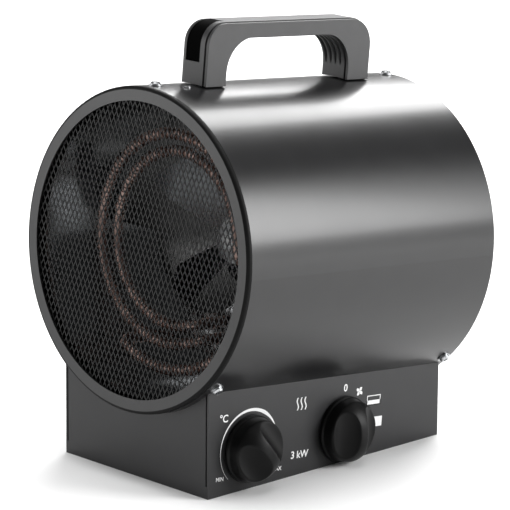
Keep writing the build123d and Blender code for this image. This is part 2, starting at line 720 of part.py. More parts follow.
element_ends = []
for loop_r, rise, (start, sweep_deg) in (
    (OUTER_LOOP_R, LOOP_RISE, OUTER_LOOP_ARC),
    (INNER_LOOP_R, LOOP_RISE, INNER_LOOP_ARC),
    (LOWER_LOOP_R, LOWER_LOOP_RISE, LOWER_LOOP_ARC),
):
    for angle in (start, start + sweep_deg):
        element_ends.append((loop_r * cos(radians(angle)), rise + loop_r * sin(radians(angle))))

with BuildPart() as element_bracket:
    with BuildSketch(tube.offset(BRACKET_STATION)):
        Circle(LINER_R - LINER_WALL - 0.4)
        Circle(BRACKET_INNER_R, mode=Mode.SUBTRACT)
        with Locations((0, 66)):
            Rectangle(240, 132, mode=Mode.SUBTRACT)
        with Locations(*element_ends):
            Circle(TERMINAL_R + 0.2, mode=Mode.SUBTRACT)
    extrude(amount=BRACKET_SHEET)
element_bracket.part.label = "element_bracket"
export_step(element_bracket.part, "parts/element_bracket.step")

with BuildPart() as element_terminals:
    with BuildSketch(tube.offset(BRACKET_STATION + 2)):
        with Locations(*element_ends):
            Circle(TERMINAL_R)
    extrude(amount=-TERMINAL_LENGTH)
element_terminals.part.label = "element_terminals"
export_step(element_terminals.part, "parts/element_terminals.step")

with BuildPart() as thermal_cutout:
    with BuildSketch(tube.offset(BRACKET_STATION - FIT_GAP)):
        with Locations((0, CUTOUT_HEIGHT)):
            Circle(CUTOUT_R)
    extrude(amount=-8)
    with BuildSketch(tube.offset(BRACKET_STATION - 7)):
        with Locations((-CUTOUT_R / 2, CUTOUT_HEIGHT), (CUTOUT_R / 2, CUTOUT_HEIGHT)):
            Rectangle(0.8, 6.3)
    extrude(amount=-8)
thermal_cutout.part.label = "thermal_cutout"
export_step(thermal_cutout.part, "parts/thermal_cutout.step")

# ---------------------------------------------------------------- fan and motor
with BuildPart() as fan_blade:
    with BuildSketch(tube.offset(FAN_STATION)):
        Circle(FAN_HUB_R)
    extrude(amount=FAN_HUB_DEPTH / 2, both=True)
    for index in range(BLADE_COUNT):
        turn = radians(360 / BLADE_COUNT * index)
        spoke = tube.x_dir * cos(turn) + tube.y_dir * sin(turn)
        across = tube.z_dir.cross(spoke)
        pitch = radians(BLADE_PITCH)
        chord = across * cos(pitch) + tube.z_dir * sin(pitch)
        blade = Plane(origin=tube.origin + tube.z_dir * FAN_STATION, x_dir=spoke, z_dir=spoke.cross(chord))
        with BuildSketch(blade):
            Polygon(
                (FAN_HUB_R - 3, -8),
                (FAN_HUB_R - 3, 8),
                (FAN_R * 0.7, 24),
                (FAN_R - 4, 26),
                (FAN_R - 8, -20),
                (FAN_R * 0.6, -16),
                align=None,
            )
        extrude(amount=BLADE_SHEET / 2, both=True)
    with BuildSketch(tube.offset(FAN_STATION)):
        Circle(SHAFT_R)
    extrude(amount=FAN_HUB_DEPTH, both=True, mode=Mode.SUBTRACT)
fan_blade.part.label = "fan_blade"
export_step(fan_blade.part, "parts/fan_blade.step")

SHAFT_FRONT = FAN_STATION + 15
SHAFT_REAR = MOTOR_STATION - 31
with BuildPart() as motor_shaft:
    with BuildSketch(tube.offset(SHAFT_FRONT)):
        Circle(SHAFT_R)
    extrude(amount=SHAFT_REAR - SHAFT_FRONT)
motor_shaft.part.label = "motor_shaft"
export_step(motor_shaft.part, "parts/motor_shaft.step")

with BuildPart() as fan_nut:
    with BuildSketch(tube.offset(FAN_STATION + FAN_HUB_DEPTH / 2 + RUNNING_GAP)):
        RegularPolygon(5.8, 6)
        Circle(SHAFT_R, mode=Mode.SUBTRACT)
    extrude(amount=5)
fan_nut.part.label = "fan_nut"
export_step(fan_nut.part, "parts/fan_nut.step")

with BuildPart() as motor_rotor:
    with BuildSketch(tube.offset(MOTOR_STATION)):
        Circle(ROTOR_R - AIR_GAP)
        Circle(SHAFT_R, mode=Mode.SUBTRACT)
    extrude(amount=STATOR_DEPTH / 2 + 1, both=True)
motor_rotor.part.label = "motor_rotor"
export_step(motor_rotor.part, "parts/motor_rotor.step")

with BuildPart() as motor_stator:
    with BuildSketch(tube.offset(MOTOR_STATION)):
        with Locations((0, -STATOR_DROP)):
            Rectangle(STATOR_WIDTH, STATOR_HEIGHT)
        with Locations((0, -WINDOW_DROP)):
            Rectangle(WINDOW_WIDTH, WINDOW_HEIGHT, mode=Mode.SUBTRACT)
        Circle(ROTOR_R, mode=Mode.SUBTRACT)
        with GridLocations(58, 52, 2, 2):
            Circle(BOLT_HOLE_R, mode=Mode.SUBTRACT)
    extrude(amount=STATOR_DEPTH / 2, both=True)
motor_stator.part.label = "motor_stator"
export_step(motor_stator.part, "parts/motor_stator.step")

coil_middle = tube.origin + tube.z_dir * MOTOR_STATION - tube.y_dir * COIL_DROP
with BuildPart() as motor_coil:
    with BuildSketch(Plane(origin=coil_middle, x_dir=tube.y_dir, z_dir=tube.x_dir)):
        Rectangle(31, STATOR_DEPTH + 20)
        Rectangle(20.2, STATOR_DEPTH + 0.4, mode=Mode.SUBTRACT)
    extrude(amount=COIL_WIDTH / 2, both=True)
    with BuildSketch(tube.offset(MOTOR_STATION)):
        with Locations((0, -STATOR_DROP)):
            Rectangle(STATOR_WIDTH, STATOR_HEIGHT)
        with Locations((0, -WINDOW_DROP)):
            Rectangle(WINDOW_WIDTH - 1, WINDOW_HEIGHT - 0.4, mode=Mode.SUBTRACT)
    extrude(amount=STATOR_DEPTH / 2 + 0.2, both=True, mode=Mode.SUBTRACT)
motor_coil.part.label = "motor_coil"
export_step(motor_coil.part, "parts/motor_coil.step")

for name, side in (("motor_front_bracket", 1), ("motor_rear_bracket", -1)):
    with BuildPart() as bearing_bracket:
        with BuildSketch(tube.offset(MOTOR_STATION + side * BRACKET_STANDOFF)):
            SlotOverall(92, 22, rotation=42)
            Circle(BEARING_R, mode=Mode.SUBTRACT)
            with Locations(*BOLT_SPOTS):
                Circle(BOLT_HOLE_R, mode=Mode.SUBTRACT)
        extrude(amount=side * 2.0)
        for corner in BOLT_SPOTS:
            with BuildSketch(tube.offset(MOTOR_STATION + side * (STATOR_DEPTH / 2 + FIT_GAP))):
                with Locations(corner):
                    Circle(4)
                    Circle(BOLT_HOLE_R, mode=Mode.SUBTRACT)
            extrude(amount=side * (BRACKET_STANDOFF - STATOR_DEPTH / 2 + 0.2))
    bearing_bracket.part.label = name
    export_step(bearing_bracket.part, f"parts/{name}.step")

for name, side in (("motor_front_bearing", 1), ("motor_rear_bearing", -1)):
    with BuildPart() as bearing:
        with BuildSketch(tube.offset(MOTOR_STATION + side * (BRACKET_STANDOFF - 3))):
            Circle(BEARING_R - 0.02)
            Circle(SHAFT_R + RUNNING_GAP, mode=Mode.SUBTRACT)
        extrude(amount=side * BEARING_DEPTH)
    bearing.part.label = name
    export_step(bearing.part, f"parts/{name}.step")

with BuildPart() as motor_bolts:
    for corner in BOLT_SPOTS:
        with BuildSketch(tube.offset(MOTOR_STATION - BRACKET_STANDOFF - 4.5)):
            with Locations(corner):
                Circle(3.8)
        extrude(amount=2.4)
        with BuildSketch(tube.offset(MOTOR_STATION - BRACKET_STANDOFF - 4.5)):
            with Locations(corner):
                Circle(BOLT_R)
        extrude(amount=2 * BRACKET_STANDOFF + 9)
motor_bolts.part.label = "motor_bolts"
export_step(motor_bolts.part, "parts/motor_bolts.step")

with BuildPart() as motor_mount:
    with BuildSketch(tube.offset(MOUNT_STATION)):
        Circle(48)
        Circle(12, mode=Mode.SUBTRACT)
        for angle in MOUNT_ARM_ANGLES:
            with Locations(Rot(0, 0, angle)):
                with Locations((75, 0)):
                    Rectangle(60, 16)
        with Locations(*BOLT_SPOTS):
            Circle(4.6, mode=Mode.SUBTRACT)
    extrude(amount=MOUNT_SHEET)
    for angle in MOUNT_ARM_ANGLES:
        foot = radial_plane(90 - angle, MOUNT_STATION + 8, SHELL_R - SHELL_WALL - 2.2)
        with BuildSketch(foot):
            Rectangle(16, 16)
        extrude(amount=MOUNT_SHEET)
motor_mount.part.label = "motor_mount"
export_step(motor_mount.part, "parts/motor_mount.step")

# ---------------------------------------------------------------- electrics in the base
block_middle = (TERMINAL_BLOCK_X, TERMINAL_BLOCK_Y)
with BuildPart() as terminal_block:
    with BuildSketch(Plane.XY.offset(BASE_FLOOR + 0.05)):
        with Locations(block_middle):
            Rectangle(TERMINAL_BLOCK_LENGTH, 22)
    extrude(amount=12)
    with BuildSketch(Plane.XY.offset(BASE_FLOOR + 12.05)):
        with Locations(block_middle):
            Rectangle(TERMINAL_BLOCK_LENGTH, 12)
    extrude(amount=6)
    with BuildSketch(Plane.XY.offset(BASE_FLOOR + 18.05)):
        with Locations(block_middle):
            with GridLocations(10, 10, 4, 1):
                Circle(2.6)
    extrude(amount=-8, mode=Mode.SUBTRACT)
terminal_block.part.label = "terminal_block"
export_step(terminal_block.part, "parts/terminal_block.step")

with BuildPart() as wire_grommet:
    with BuildSketch(wire_plane.offset(-SHELL_WALL - 3)):
        Circle(WIRE_HOLE_R - FIT_GAP)
        Circle(WIRE_BORE_R, mode=Mode.SUBTRACT)
    extrude(amount=7)
    with BuildSketch(wire_plane.offset(1.2)):
        Circle(WIRE_HOLE_R + 3)
        Circle(WIRE_BORE_R, mode=Mode.SUBTRACT)
    extrude(amount=2)
wire_grommet.part.label = "wire_grommet"
export_step(wire_grommet.part, "parts/wire_grommet.step")

rear_wall = Plane(origin=(GLAND_X, BASE_HALF_LENGTH, GLAND_Z), x_dir=(-1, 0, 0), z_dir=(0, 1, 0))
with BuildPart() as cable_gland:
    with BuildSketch(rear_wall.offset(0.05)):
        RegularPolygon(GLAND_HEX_R, 6)
    extrude(amount=5)
    with BuildSketch(rear_wall.offset(5.05)):
        Circle(9.4)
    extrude(amount=9, taper=8)
    with BuildSketch(rear_wall.offset(FIT_GAP)):
        Circle(GLAND_THREAD_R)
    extrude(amount=-11)
    with BuildSketch(rear_wall.offset(15)):
        Circle(GLAND_BORE_R)
    extrude(amount=-30, mode=Mode.SUBTRACT)
cable_gland.part.label = "cable_gland"
export_step(cable_gland.part, "parts/cable_gland.step")

with BuildPart() as gland_nut:
    with BuildSketch(rear_wall.offset(-BASE_SHEET - FIT_GAP)):
        RegularPolygon(GLAND_HEX_R, 6)
        Circle(GLAND_THREAD_R + 0.02, mode=Mode.SUBTRACT)
    extrude(amount=-4)
gland_nut.part.label = "gland_nut"
export_step(gland_nut.part, "parts/gland_nut.step")

with BuildPart() as thermostat_bulb:
    with BuildSketch(Plane(origin=(CAPILLARY_X, BULB_Y, BULB_Z), z_dir=(0, 1, 0))):
        Circle(BULB_R)
    extrude(amount=BULB_LENGTH)
thermostat_bulb.part.label = "thermostat_bulb"
export_step(thermostat_bulb.part, "parts/thermostat_bulb.step")

with BuildPart() as thermostat_capillary:
    with BuildLine() as capillary_route:
        FilletPolyline(
            (panel_inside - FIT_GAP - THERMOSTAT_SIZE[2], THERMOSTAT_Y, THERMOSTAT_Z),
            (CAPILLARY_X, THERMOSTAT_Y, THERMOSTAT_Z),
            (CAPILLARY_X, -20, 30),
            (CAPILLARY_X, 36, BULB_Z),
            (CAPILLARY_X, BULB_Y, BULB_Z),
            radius=5,
        )
    with BuildSketch(Plane(origin=capillary_route.line @ 0, z_dir=capillary_route.line % 0)):
        Circle(CAPILLARY_R)
    sweep()
thermostat_capillary.part.label = "thermostat_capillary"
export_step(thermostat_capillary.part, "parts/thermostat_capillary.step")
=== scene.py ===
"""Looks of a round electric fan heater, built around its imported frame.

Metres, +Z up. The warm air leaves towards -Y and the controls are on +X. Pieces of the tube are drawn in
the tube's own coordinates: x across, y up from its axis, z along the axis towards the outlet.
"""
import json
import logging
import math
from collections.abc import Callable
from dataclasses import dataclass
from enum import Enum

import bmesh
import bpy
from mathutils import Matrix, Vector


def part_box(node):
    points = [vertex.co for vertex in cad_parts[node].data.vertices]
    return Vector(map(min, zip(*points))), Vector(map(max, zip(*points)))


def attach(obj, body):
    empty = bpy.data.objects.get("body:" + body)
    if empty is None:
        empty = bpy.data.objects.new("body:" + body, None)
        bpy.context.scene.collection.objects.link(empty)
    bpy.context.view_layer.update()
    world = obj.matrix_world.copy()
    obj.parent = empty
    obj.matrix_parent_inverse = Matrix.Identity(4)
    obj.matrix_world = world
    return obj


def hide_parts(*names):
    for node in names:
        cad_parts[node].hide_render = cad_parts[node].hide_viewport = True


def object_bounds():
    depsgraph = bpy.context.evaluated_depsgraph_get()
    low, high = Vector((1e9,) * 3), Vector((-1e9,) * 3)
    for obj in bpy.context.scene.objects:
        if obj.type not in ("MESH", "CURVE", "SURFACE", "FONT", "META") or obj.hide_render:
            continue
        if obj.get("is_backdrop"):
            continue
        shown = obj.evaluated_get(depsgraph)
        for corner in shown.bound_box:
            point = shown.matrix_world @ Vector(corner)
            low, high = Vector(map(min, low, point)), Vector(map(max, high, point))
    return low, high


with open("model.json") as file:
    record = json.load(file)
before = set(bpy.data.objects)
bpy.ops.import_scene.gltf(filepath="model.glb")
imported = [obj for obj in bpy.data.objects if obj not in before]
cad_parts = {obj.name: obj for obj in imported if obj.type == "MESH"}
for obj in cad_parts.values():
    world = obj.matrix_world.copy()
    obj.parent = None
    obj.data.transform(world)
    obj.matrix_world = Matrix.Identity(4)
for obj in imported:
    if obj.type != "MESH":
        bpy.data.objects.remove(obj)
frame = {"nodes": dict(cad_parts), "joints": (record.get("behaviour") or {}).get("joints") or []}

log = logging.getLogger("heater")
Point = tuple[float, float, float]
Feed = bpy.types.NodeSocket | bpy.types.Material | Point | float
Setting = str | bool
ROOT = "root"


# ---------------------------------------------------------------- finishes
class Relief(Enum):
    """The fine relief that a finish carries."""

    POWDER = "orange peel of baked paint"
    MOULDED = "spark-eroded grain of moulded plastic"
    BRUSHED = "drawn lines of rolled sheet"
    PLATED = "soft ripple of a plated part"
    WOUND = "turns of wire or tape"
    OXIDE = "mottled heat oxide"


@dataclass(frozen=True)
class Finish:
    """One surface finish, as a procedural material.

    Attributes:
        name: name of the material.
        colour: linear base colour.
        roughness: mean roughness.
        metallic: 1 for bare metal.
        relief: kind of fine relief.
        grain: size of the relief in metres.
        depth: height of the relief in metres.
        mottle: how far the colour strays, as a share.
        tint: second colour that the mottling leads to, or None for a darker first colour.
        coat: weight of a clear gloss over the finish.
        specular: specular level of the shader.
        stretch: how many times longer the grain is along each axis.
    """

    name: str
    colour: Point
    roughness: float
    metallic: float = 0.0
    relief: Relief = Relief.POWDER
    grain: float = 0.0006
    depth: float = 0.00001
    mottle: float = 0.15
    tint: Point | None = None
    coat: float = 0.0
    specular: float = 0.5
    stretch: Point = (1.0, 1.0, 1.0)

    def material(self) -> bpy.types.Material:
        """Make the material, or return it if it is already made."""
        made = bpy.data.materials.get(self.name)
        if made is not None and made.get("dressed"):
            return made
        made = bpy.data.materials.new(self.name)
        made["dressed"] = True
        made.use_nodes = True
        tree = made.node_tree
        shader = tree.nodes["Principled BSDF"]
        shader.inputs["Metallic"].default_value = self.metallic
        shader.inputs["Specular IOR Level"].default_value = self.specular
        shader.inputs["Coat Weight"].default_value = self.coat
        shader.inputs["Coat Roughness"].default_value = self.roughness * 0.5
        coordinates = tree.nodes.new("ShaderNodeTexCoord")
        mapping = tree.nodes.new("ShaderNodeMapping")
        mapping.inputs["Scale"].default_value = [1.0 / s for s in self.stretch]
        tree.links.new(coordinates.outputs["Object"], mapping.inputs["Vector"])
        cloud = self._noise(tree, mapping, self.grain * 28, 3.0)
        fine = self._noise(tree, mapping, self.grain, 2.0)
        self._colour(tree, cloud, shader)
        self._roughness(tree, cloud, fine, shader)
        height = self._height(tree, mapping, fine)
        bump = tree.nodes.new("ShaderNodeBump")
        bump.inputs["Distance"].default_value = self.depth
        bump.inputs["Strength"].default_value = 1.0
        tree.links.new(height, bump.inputs["Height"])
        tree.links.new(bump.outputs["Normal"], shader.inputs["Normal"])
        return made

    @staticmethod
    def _noise(
        tree: bpy.types.NodeTree, mapping: bpy.types.Node, size: float, detail: float
    ) -> bpy.types.NodeSocket:
        """Add a noise texture.

        Args:
            tree: the material's node tree.
            mapping: node that gives the texture its coordinates.
            size: rough size of the blobs in metres.
            detail: how many finer layers it has.

        Returns:
            The texture's value.
        """
        noise = tree.nodes.new("ShaderNodeTexNoise")
        noise.inputs["Scale"].default_value = 1.0 / size
        noise.inputs["Detail"].default_value = detail
        tree.links.new(mapping.outputs["Vector"], noise.inputs["Vector"])
        return noise.outputs[0]

    def _colour(self, tree: bpy.types.NodeTree, cloud: bpy.types.NodeSocket, shader: bpy.types.Node) -> None:
        """Let the base colour stray between the finish's colour and its tint.

        Args:
            tree: the material's node tree.
            cloud: the coarse noise.
            shader: the shader that takes the colour.
        """
        ramp = tree.nodes.new("ShaderNodeValToRGB")
        other = self.tint or tuple(c * (1 - self.mottle) for c in self.colour)
        ramp.color_ramp.elements[0].position = 0.35
        ramp.color_ramp.elements[0].color = (*other, 1)
        ramp.color_ramp.elements[1].position = 0.65
        ramp.color_ramp.elements[1].color = (*self.colour, 1)
        tree.links.new(cloud, ramp.inputs["Fac"])
        tree.links.new(ramp.outputs["Color"], shader.inputs["Base Color"])

    def _roughness(
        self, tree: bpy.types.NodeTree, cloud: bpy.types.NodeSocket, fine: bpy.types.NodeSocket,
        shader: bpy.types.Node,
    ) -> None:
        """Let the roughness stray a little, both over large patches and with the grain.

        Args:
            tree: the material's node tree.
            cloud: the coarse noise.
            fine: the fine noise.
            shader: the shader that takes the roughness.
        """
        blend = tree.nodes.new("ShaderNodeMath")
        blend.operation = "MULTIPLY"
        tree.links.new(cloud, blend.inputs[0])
        tree.links.new(fine, blend.inputs[1])
        spread = tree.nodes.new("ShaderNodeMapRange")
        spread.inputs["From Min"].default_value = 0.1
        spread.inputs["From Max"].default_value = 0.4
        spread.inputs["To Min"].default_value = self.roughness * 0.96
        spread.inputs["To Max"].default_value = self.roughness * 1.05
        tree.links.new(blend.outputs[0], spread.inputs["Value"])
        tree.links.new(spread.outputs["Result"], shader.inputs["Roughness"])

    def _height(
        self, tree: bpy.types.NodeTree, mapping: bpy.types.Node, fine: bpy.types.NodeSocket
    ) -> bpy.types.NodeSocket:
        """The relief's height, from 0 to 1.

        Args:
            tree: the material's node tree.
            mapping: node that gives textures their coordinates.
            fine: the fine noise, which is the relief of a plain finish.

        Returns:
            The height's socket.
        """
        if self.relief is Relief.WOUND:
            wave = tree.nodes.new("ShaderNodeTexWave")
            wave.inputs["Scale"].default_value = 0.314 / self.grain
            wave.inputs["Distortion"].default_value = 0.4
            tree.links.new(mapping.outputs["Vector"], wave.inputs["Vector"])
            return wave.outputs["Fac"]
        if self.relief is Relief.MOULDED:
            cells = tree.nodes.new("ShaderNodeTexVoronoi")
            cells.inputs["Scale"].default_value = 1.0 / self.grain
            tree.links.new(mapping.outputs["Vector"], cells.inputs["Vector"])
            return cells.outputs["Distance"]
        return fine


SHELL_PAINT = Finish(
    "satin_black_shell", (0.010, 0.010, 0.0105), 0.29, grain=0.0007, depth=0.000008, coat=0.12, specular=0.42
)
# Painted shade: the ring's rolled rim is the shell's own paint, made darker and duller to stand in for the
# shadow of the rim and the gap behind it.
RIM_PAINTED_SHADE = Finish("ring_rim_painted_shade", (0.006, 0.006, 0.006), 0.5, grain=0.0007, specular=0.08)
BASE_PAINT = Finish(
    "satin_black_base", (0.018, 0.018, 0.019), 0.42, grain=0.0007, depth=0.000012, specular=0.36
)
MESH_PAINT = Finish("black_mesh_enamel", (0.006, 0.006, 0.006), 0.38, grain=0.0004, specular=0.3)
BRIGHT_SHEET = Finish(
    "bright_rolled_sheet", (0.44, 0.45, 0.46), 0.14, 1.0, Relief.BRUSHED, 0.0004, 0.000006, 0.2,
    stretch=(1.0, 14.0, 1.0),
)
ZINC = Finish("bright_zinc", (0.50, 0.51, 0.52), 0.3, 1.0, Relief.PLATED, 0.0006, 0.000008, 0.25)
STEEL = Finish("turned_steel", (0.45, 0.45, 0.45), 0.3, 1.0, Relief.BRUSHED, 0.0003, 0.000006, 0.2)
LAMINATION = Finish(
    "stacked_lamination", (0.20, 0.21, 0.23), 0.45, 1.0, Relief.BRUSHED, 0.0004, 0.00004, 0.5,
    stretch=(30.0, 1.0, 30.0),
)
HANDLE_PLASTIC = Finish(
    "handle_black_plastic", (0.030, 0.030, 0.031), 0.44, relief=Relief.MOULDED, grain=0.0005, depth=0.000015
)
KNOB_PLASTIC = Finish(
    "knob_black_plastic", (0.003, 0.003, 0.0031), 0.42, relief=Relief.MOULDED, grain=0.0005, depth=0.000012,
    specular=0.16,
)
# Painted shade: near-black with almost no gloss, laid in the handle's window and behind its seam to stand in
# for the shade in these hollows.
HOLLOW_PAINTED_SHADE = Finish("window_and_seam_shade", (0.0012, 0.0012, 0.0012), 0.8, grain=0.0005, specular=0.02)
SWITCH_PLASTIC = Finish("switch_grey_plastic", (0.22, 0.22, 0.21), 0.5, relief=Relief.MOULDED, depth=0.00002)
TERMINAL_PLASTIC = Finish("terminal_white_plastic", (0.62, 0.60, 0.54), 0.5, relief=Relief.MOULDED)
GLAND_PLASTIC = Finish("gland_black_nylon", (0.018, 0.018, 0.018), 0.5, relief=Relief.MOULDED, depth=0.00002)
COPPER = Finish("drawn_copper", (0.80, 0.42, 0.27), 0.25, 1.0, Relief.PLATED, 0.0005, tint=(0.55, 0.26, 0.15))
BRONZE = Finish("sintered_bronze", (0.50, 0.33, 0.16), 0.5, 1.0, Relief.PLATED, 0.0004, 0.00002)
ELEMENT_STEEL = Finish(
    "fired_element_steel", (0.46, 0.33, 0.29), 0.36, 0.85, Relief.OXIDE, 0.0008, 0.00002,
    tint=(0.24, 0.17, 0.15),
)
FAN_ALUMINIUM = Finish(
    "stamped_aluminium", (0.45, 0.46, 0.47), 0.3, 1.0, Relief.BRUSHED, 0.0005, 0.000008, 0.15,
    stretch=(1.0, 1.0, 10.0),
)
COIL_TAPE = Finish(
    "wound_coil_tape", (0.42, 0.13, 0.03), 0.5, relief=Relief.WOUND, grain=0.0016, depth=0.0002
)
GROMMET_RUBBER = Finish("grommet_rubber", (0.02, 0.02, 0.02), 0.7, relief=Relief.MOULDED, depth=0.00002)
PANEL_PRINT = Finish("white_pad_print", (0.80, 0.80, 0.80), 0.5, grain=0.0003, depth=0.000004, mottle=0.05)
FLOOR_PAPER = Finish(
    "pale_paper", (0.86, 0.86, 0.86), 0.9, grain=0.02, depth=0.00001, mottle=0.01, specular=0.1
)

SLOT_FINISHES: dict[str, Finish] = {
    "shell_paint": SHELL_PAINT,
    "base_paint": BASE_PAINT,
    "mesh_paint": MESH_PAINT,
    "bright_sheet": BRIGHT_SHEET,
    "zinc": ZINC,
    "steel": STEEL,
    "lamination": LAMINATION,
    "handle_plastic": HANDLE_PLASTIC,
    "knob_plastic": KNOB_PLASTIC,
    "switch_plastic": SWITCH_PLASTIC,
    "terminal_plastic": TERMINAL_PLASTIC,
    "gland_plastic": GLAND_PLASTIC,
    "copper": COPPER,
    "bearing_bronze": BRONZE,
    "element_steel": ELEMENT_STEEL,
    "fan_aluminium": FAN_ALUMINIUM,
    "coil_tape": COIL_TAPE,
    "grommet_rubber": GROMMET_RUBBER,
}


# ---------------------------------------------------------------- frame and mesh helpers
@dataclass(frozen=True)
class TubeFrame:
    """The tube's own coordinates, taken from the fan's joint."""

    origin: Vector
    across: Vector
    up: Vector
    axis: Vector

    @classmethod
    def from_joint(cls, name: str) -> "TubeFrame":
        """The frame whose axis is that of the named joint."""
        joint = next(j for j in frame["joints"] if j["name"] == name)
        axis = Vector(joint["axis"]).normalized()
        across = Vector((1, 0, 0))
        return cls(Vector(joint["pos_m"]), across, axis.cross(across), axis)

    def matrix(self) -> Matrix:
        """The turn and shift from the tube's coordinates to the frame's."""
        turn = Matrix((self.across, self.up, self.axis)).transposed().to_4x4()
        return Matrix.Translation(self.origin) @ turn

    def local(self, node: str) -> list[Vector]:
        """A CAD node's corners in the tube's coordinates."""
        back = self.matrix().inverted()
        return [back @ v.co for v in frame["nodes"][node].data.vertices]

    def stations(self, node: str) -> tuple[float, float]:
        """The lowest and highest station of a CAD node along the axis."""
        found = [v.z for v in self.local(node)]
        return min(found), max(found)


TUBE = TubeFrame.from_joint("fan_spin")


def place(name: str, mesh: bpy.types.Mesh, body: str, slot: str, *nodes: str) -> bpy.types.Object:
    """Put a finished mesh in the scene as a piece.

    Args:
        name: name of the piece.
        mesh: its mesh, already in the frame's coordinates.
        body: CAD body that it rides on.
        slot: material slot of the record for its finish; not used.
        nodes: CAD nodes that it stands for.

    Returns:
        The piece.
    """
    piece = bpy.data.objects.new(name, mesh)
    bpy.context.scene.collection.objects.link(piece)
    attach(piece, body)
    if nodes:
        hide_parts(*nodes)
    log.info("%s: %d faces on %s", name, len(mesh.polygons), body)
    return piece


def evaluated(carrier: bpy.types.Object) -> bpy.types.Mesh:
    """The plain mesh that a carrier's modifiers make; the carrier is then removed."""
    bpy.context.view_layer.update()
    graph = bpy.context.evaluated_depsgraph_get()
    mesh = bpy.data.meshes.new_from_object(carrier.evaluated_get(graph))
    bpy.data.objects.remove(carrier)
    return mesh


def carrier_of(data: bpy.types.ID) -> bpy.types.Object:
    """An unnamed working object that holds some data."""
    carrier = bpy.data.objects.new("work", data)
    bpy.context.scene.collection.objects.link(carrier)
    return carrier


def mesh_from(build: Callable[[bmesh.types.BMesh], None]) -> bpy.types.Mesh:
    """A mesh that a function builds in a fresh bmesh, with its faces turned outwards."""
    shape = bmesh.new()
    build(shape)
    bmesh.ops.remove_doubles(shape, verts=shape.verts, dist=1e-6)
    bmesh.ops.recalc_face_normals(shape, faces=shape.faces)
    mesh = bpy.data.meshes.new("shape")
    shape.to_mesh(mesh)
    shape.free()
    return mesh


def rounded(mesh: bpy.types.Mesh, width: float, segments: int = 3, cutters: tuple = ()) -> bpy.types.Mesh:
    """Cut a mesh with others, then round its sharp edges.

    Args:
        mesh: the mesh to finish.
        width: width of the rounding in metres.
        segments: faces across each rounding.
        cutters: meshes that are cut away first.

    Returns:
        The finished mesh, shaded smooth with its flats kept flat.
    """
    carrier = carrier_of(mesh)
    tools = [carrier_of(cutter) for cutter in cutters]
    for tool in tools:
        cut = carrier.modifiers.new("cut", "BOOLEAN")
        cut.operation = "DIFFERENCE"
        cut.solver = "EXACT"
        cut.object = tool
    if width:
        edge = carrier.modifiers.new("edge", "BEVEL")
        edge.width = width
        edge.segments = segments
        edge.limit_method = "ANGLE"
        edge.angle_limit = math.radians(32)
        edge.harden_normals = True
    made = evaluated(carrier)
    for tool in tools:
        bpy.data.objects.remove(tool)
    smooth(made)
    return made


def smooth(mesh: bpy.types.Mesh, angle: float = 32.0) -> None:
    """Shade a mesh smooth, except across edges sharper than `angle` degrees."""
    mesh.polygons.foreach_set("use_smooth", [True] * len(mesh.polygons))
    shape = bmesh.new()
    shape.from_mesh(mesh)
    for edge in shape.edges:
        if len(edge.link_faces) == 2 and edge.calc_face_angle(0.0) > math.radians(angle):
            edge.smooth = False
    shape.to_mesh(mesh)
    shape.free()


def arc(centre: tuple[float, float], radius: float, start: float, end: float, steps: int) -> list[tuple]:
    """Points on an arc from one angle to another, both ends included.

    Args:
        centre: middle of the arc.
        radius: its radius.
        start: first angle in degrees.
        end: last angle in degrees.
        steps: how many spans it has.

    Returns:
        The points in order.
    """
    angles = [math.radians(start + (end - start) * i / steps) for i in range(steps + 1)]
    return [(centre[0] + radius * math.cos(a), centre[1] + radius * math.sin(a)) for a in angles]


def prism(shape: bmesh.types.BMesh, outline: list[Vector], along: Vector) -> None:
    """A closed prism.

    Args:
        shape: the bmesh that takes the faces.
        outline: corners of one end.
        along: shift from that end to the other.
    """
    near = [shape.verts.new(p) for p in outline]
    far = [shape.verts.new(p + along) for p in outline]
    shape.faces.new(near)
    shape.faces.new(list(reversed(far)))
    for i in range(len(outline)):
        j = (i + 1) % len(outline)
        shape.faces.new((near[i], far[i], far[j], near[j]))


def lathe(shape: bmesh.types.BMesh, profile: list[tuple[float, float]], steps: int) -> None:
    """Turn a profile of (radius, height) points round the local z axis.

    Args:
        shape: the bmesh that takes the faces.
        profile: points in order; a radius of 0 makes a pole.
        steps: faces round the axis.
    """
    rings = []
    for radius, height in profile:
        if radius == 0:
            rings.append([shape.verts.new((0, 0, height))])
            continue
        turns = [2 * math.pi * i / steps for i in range(steps)]
        rings.append([shape.verts.new((radius * math.cos(t), radius * math.sin(t), height)) for t in turns])
    for low, high in zip(rings, rings[1:]):
        for i in range(steps):
            j = (i + 1) % steps
            corners = [low[i % len(low)], low[j % len(low)], high[j % len(high)], high[i % len(high)]]
            shape.faces.new(list(dict.fromkeys(corners)))


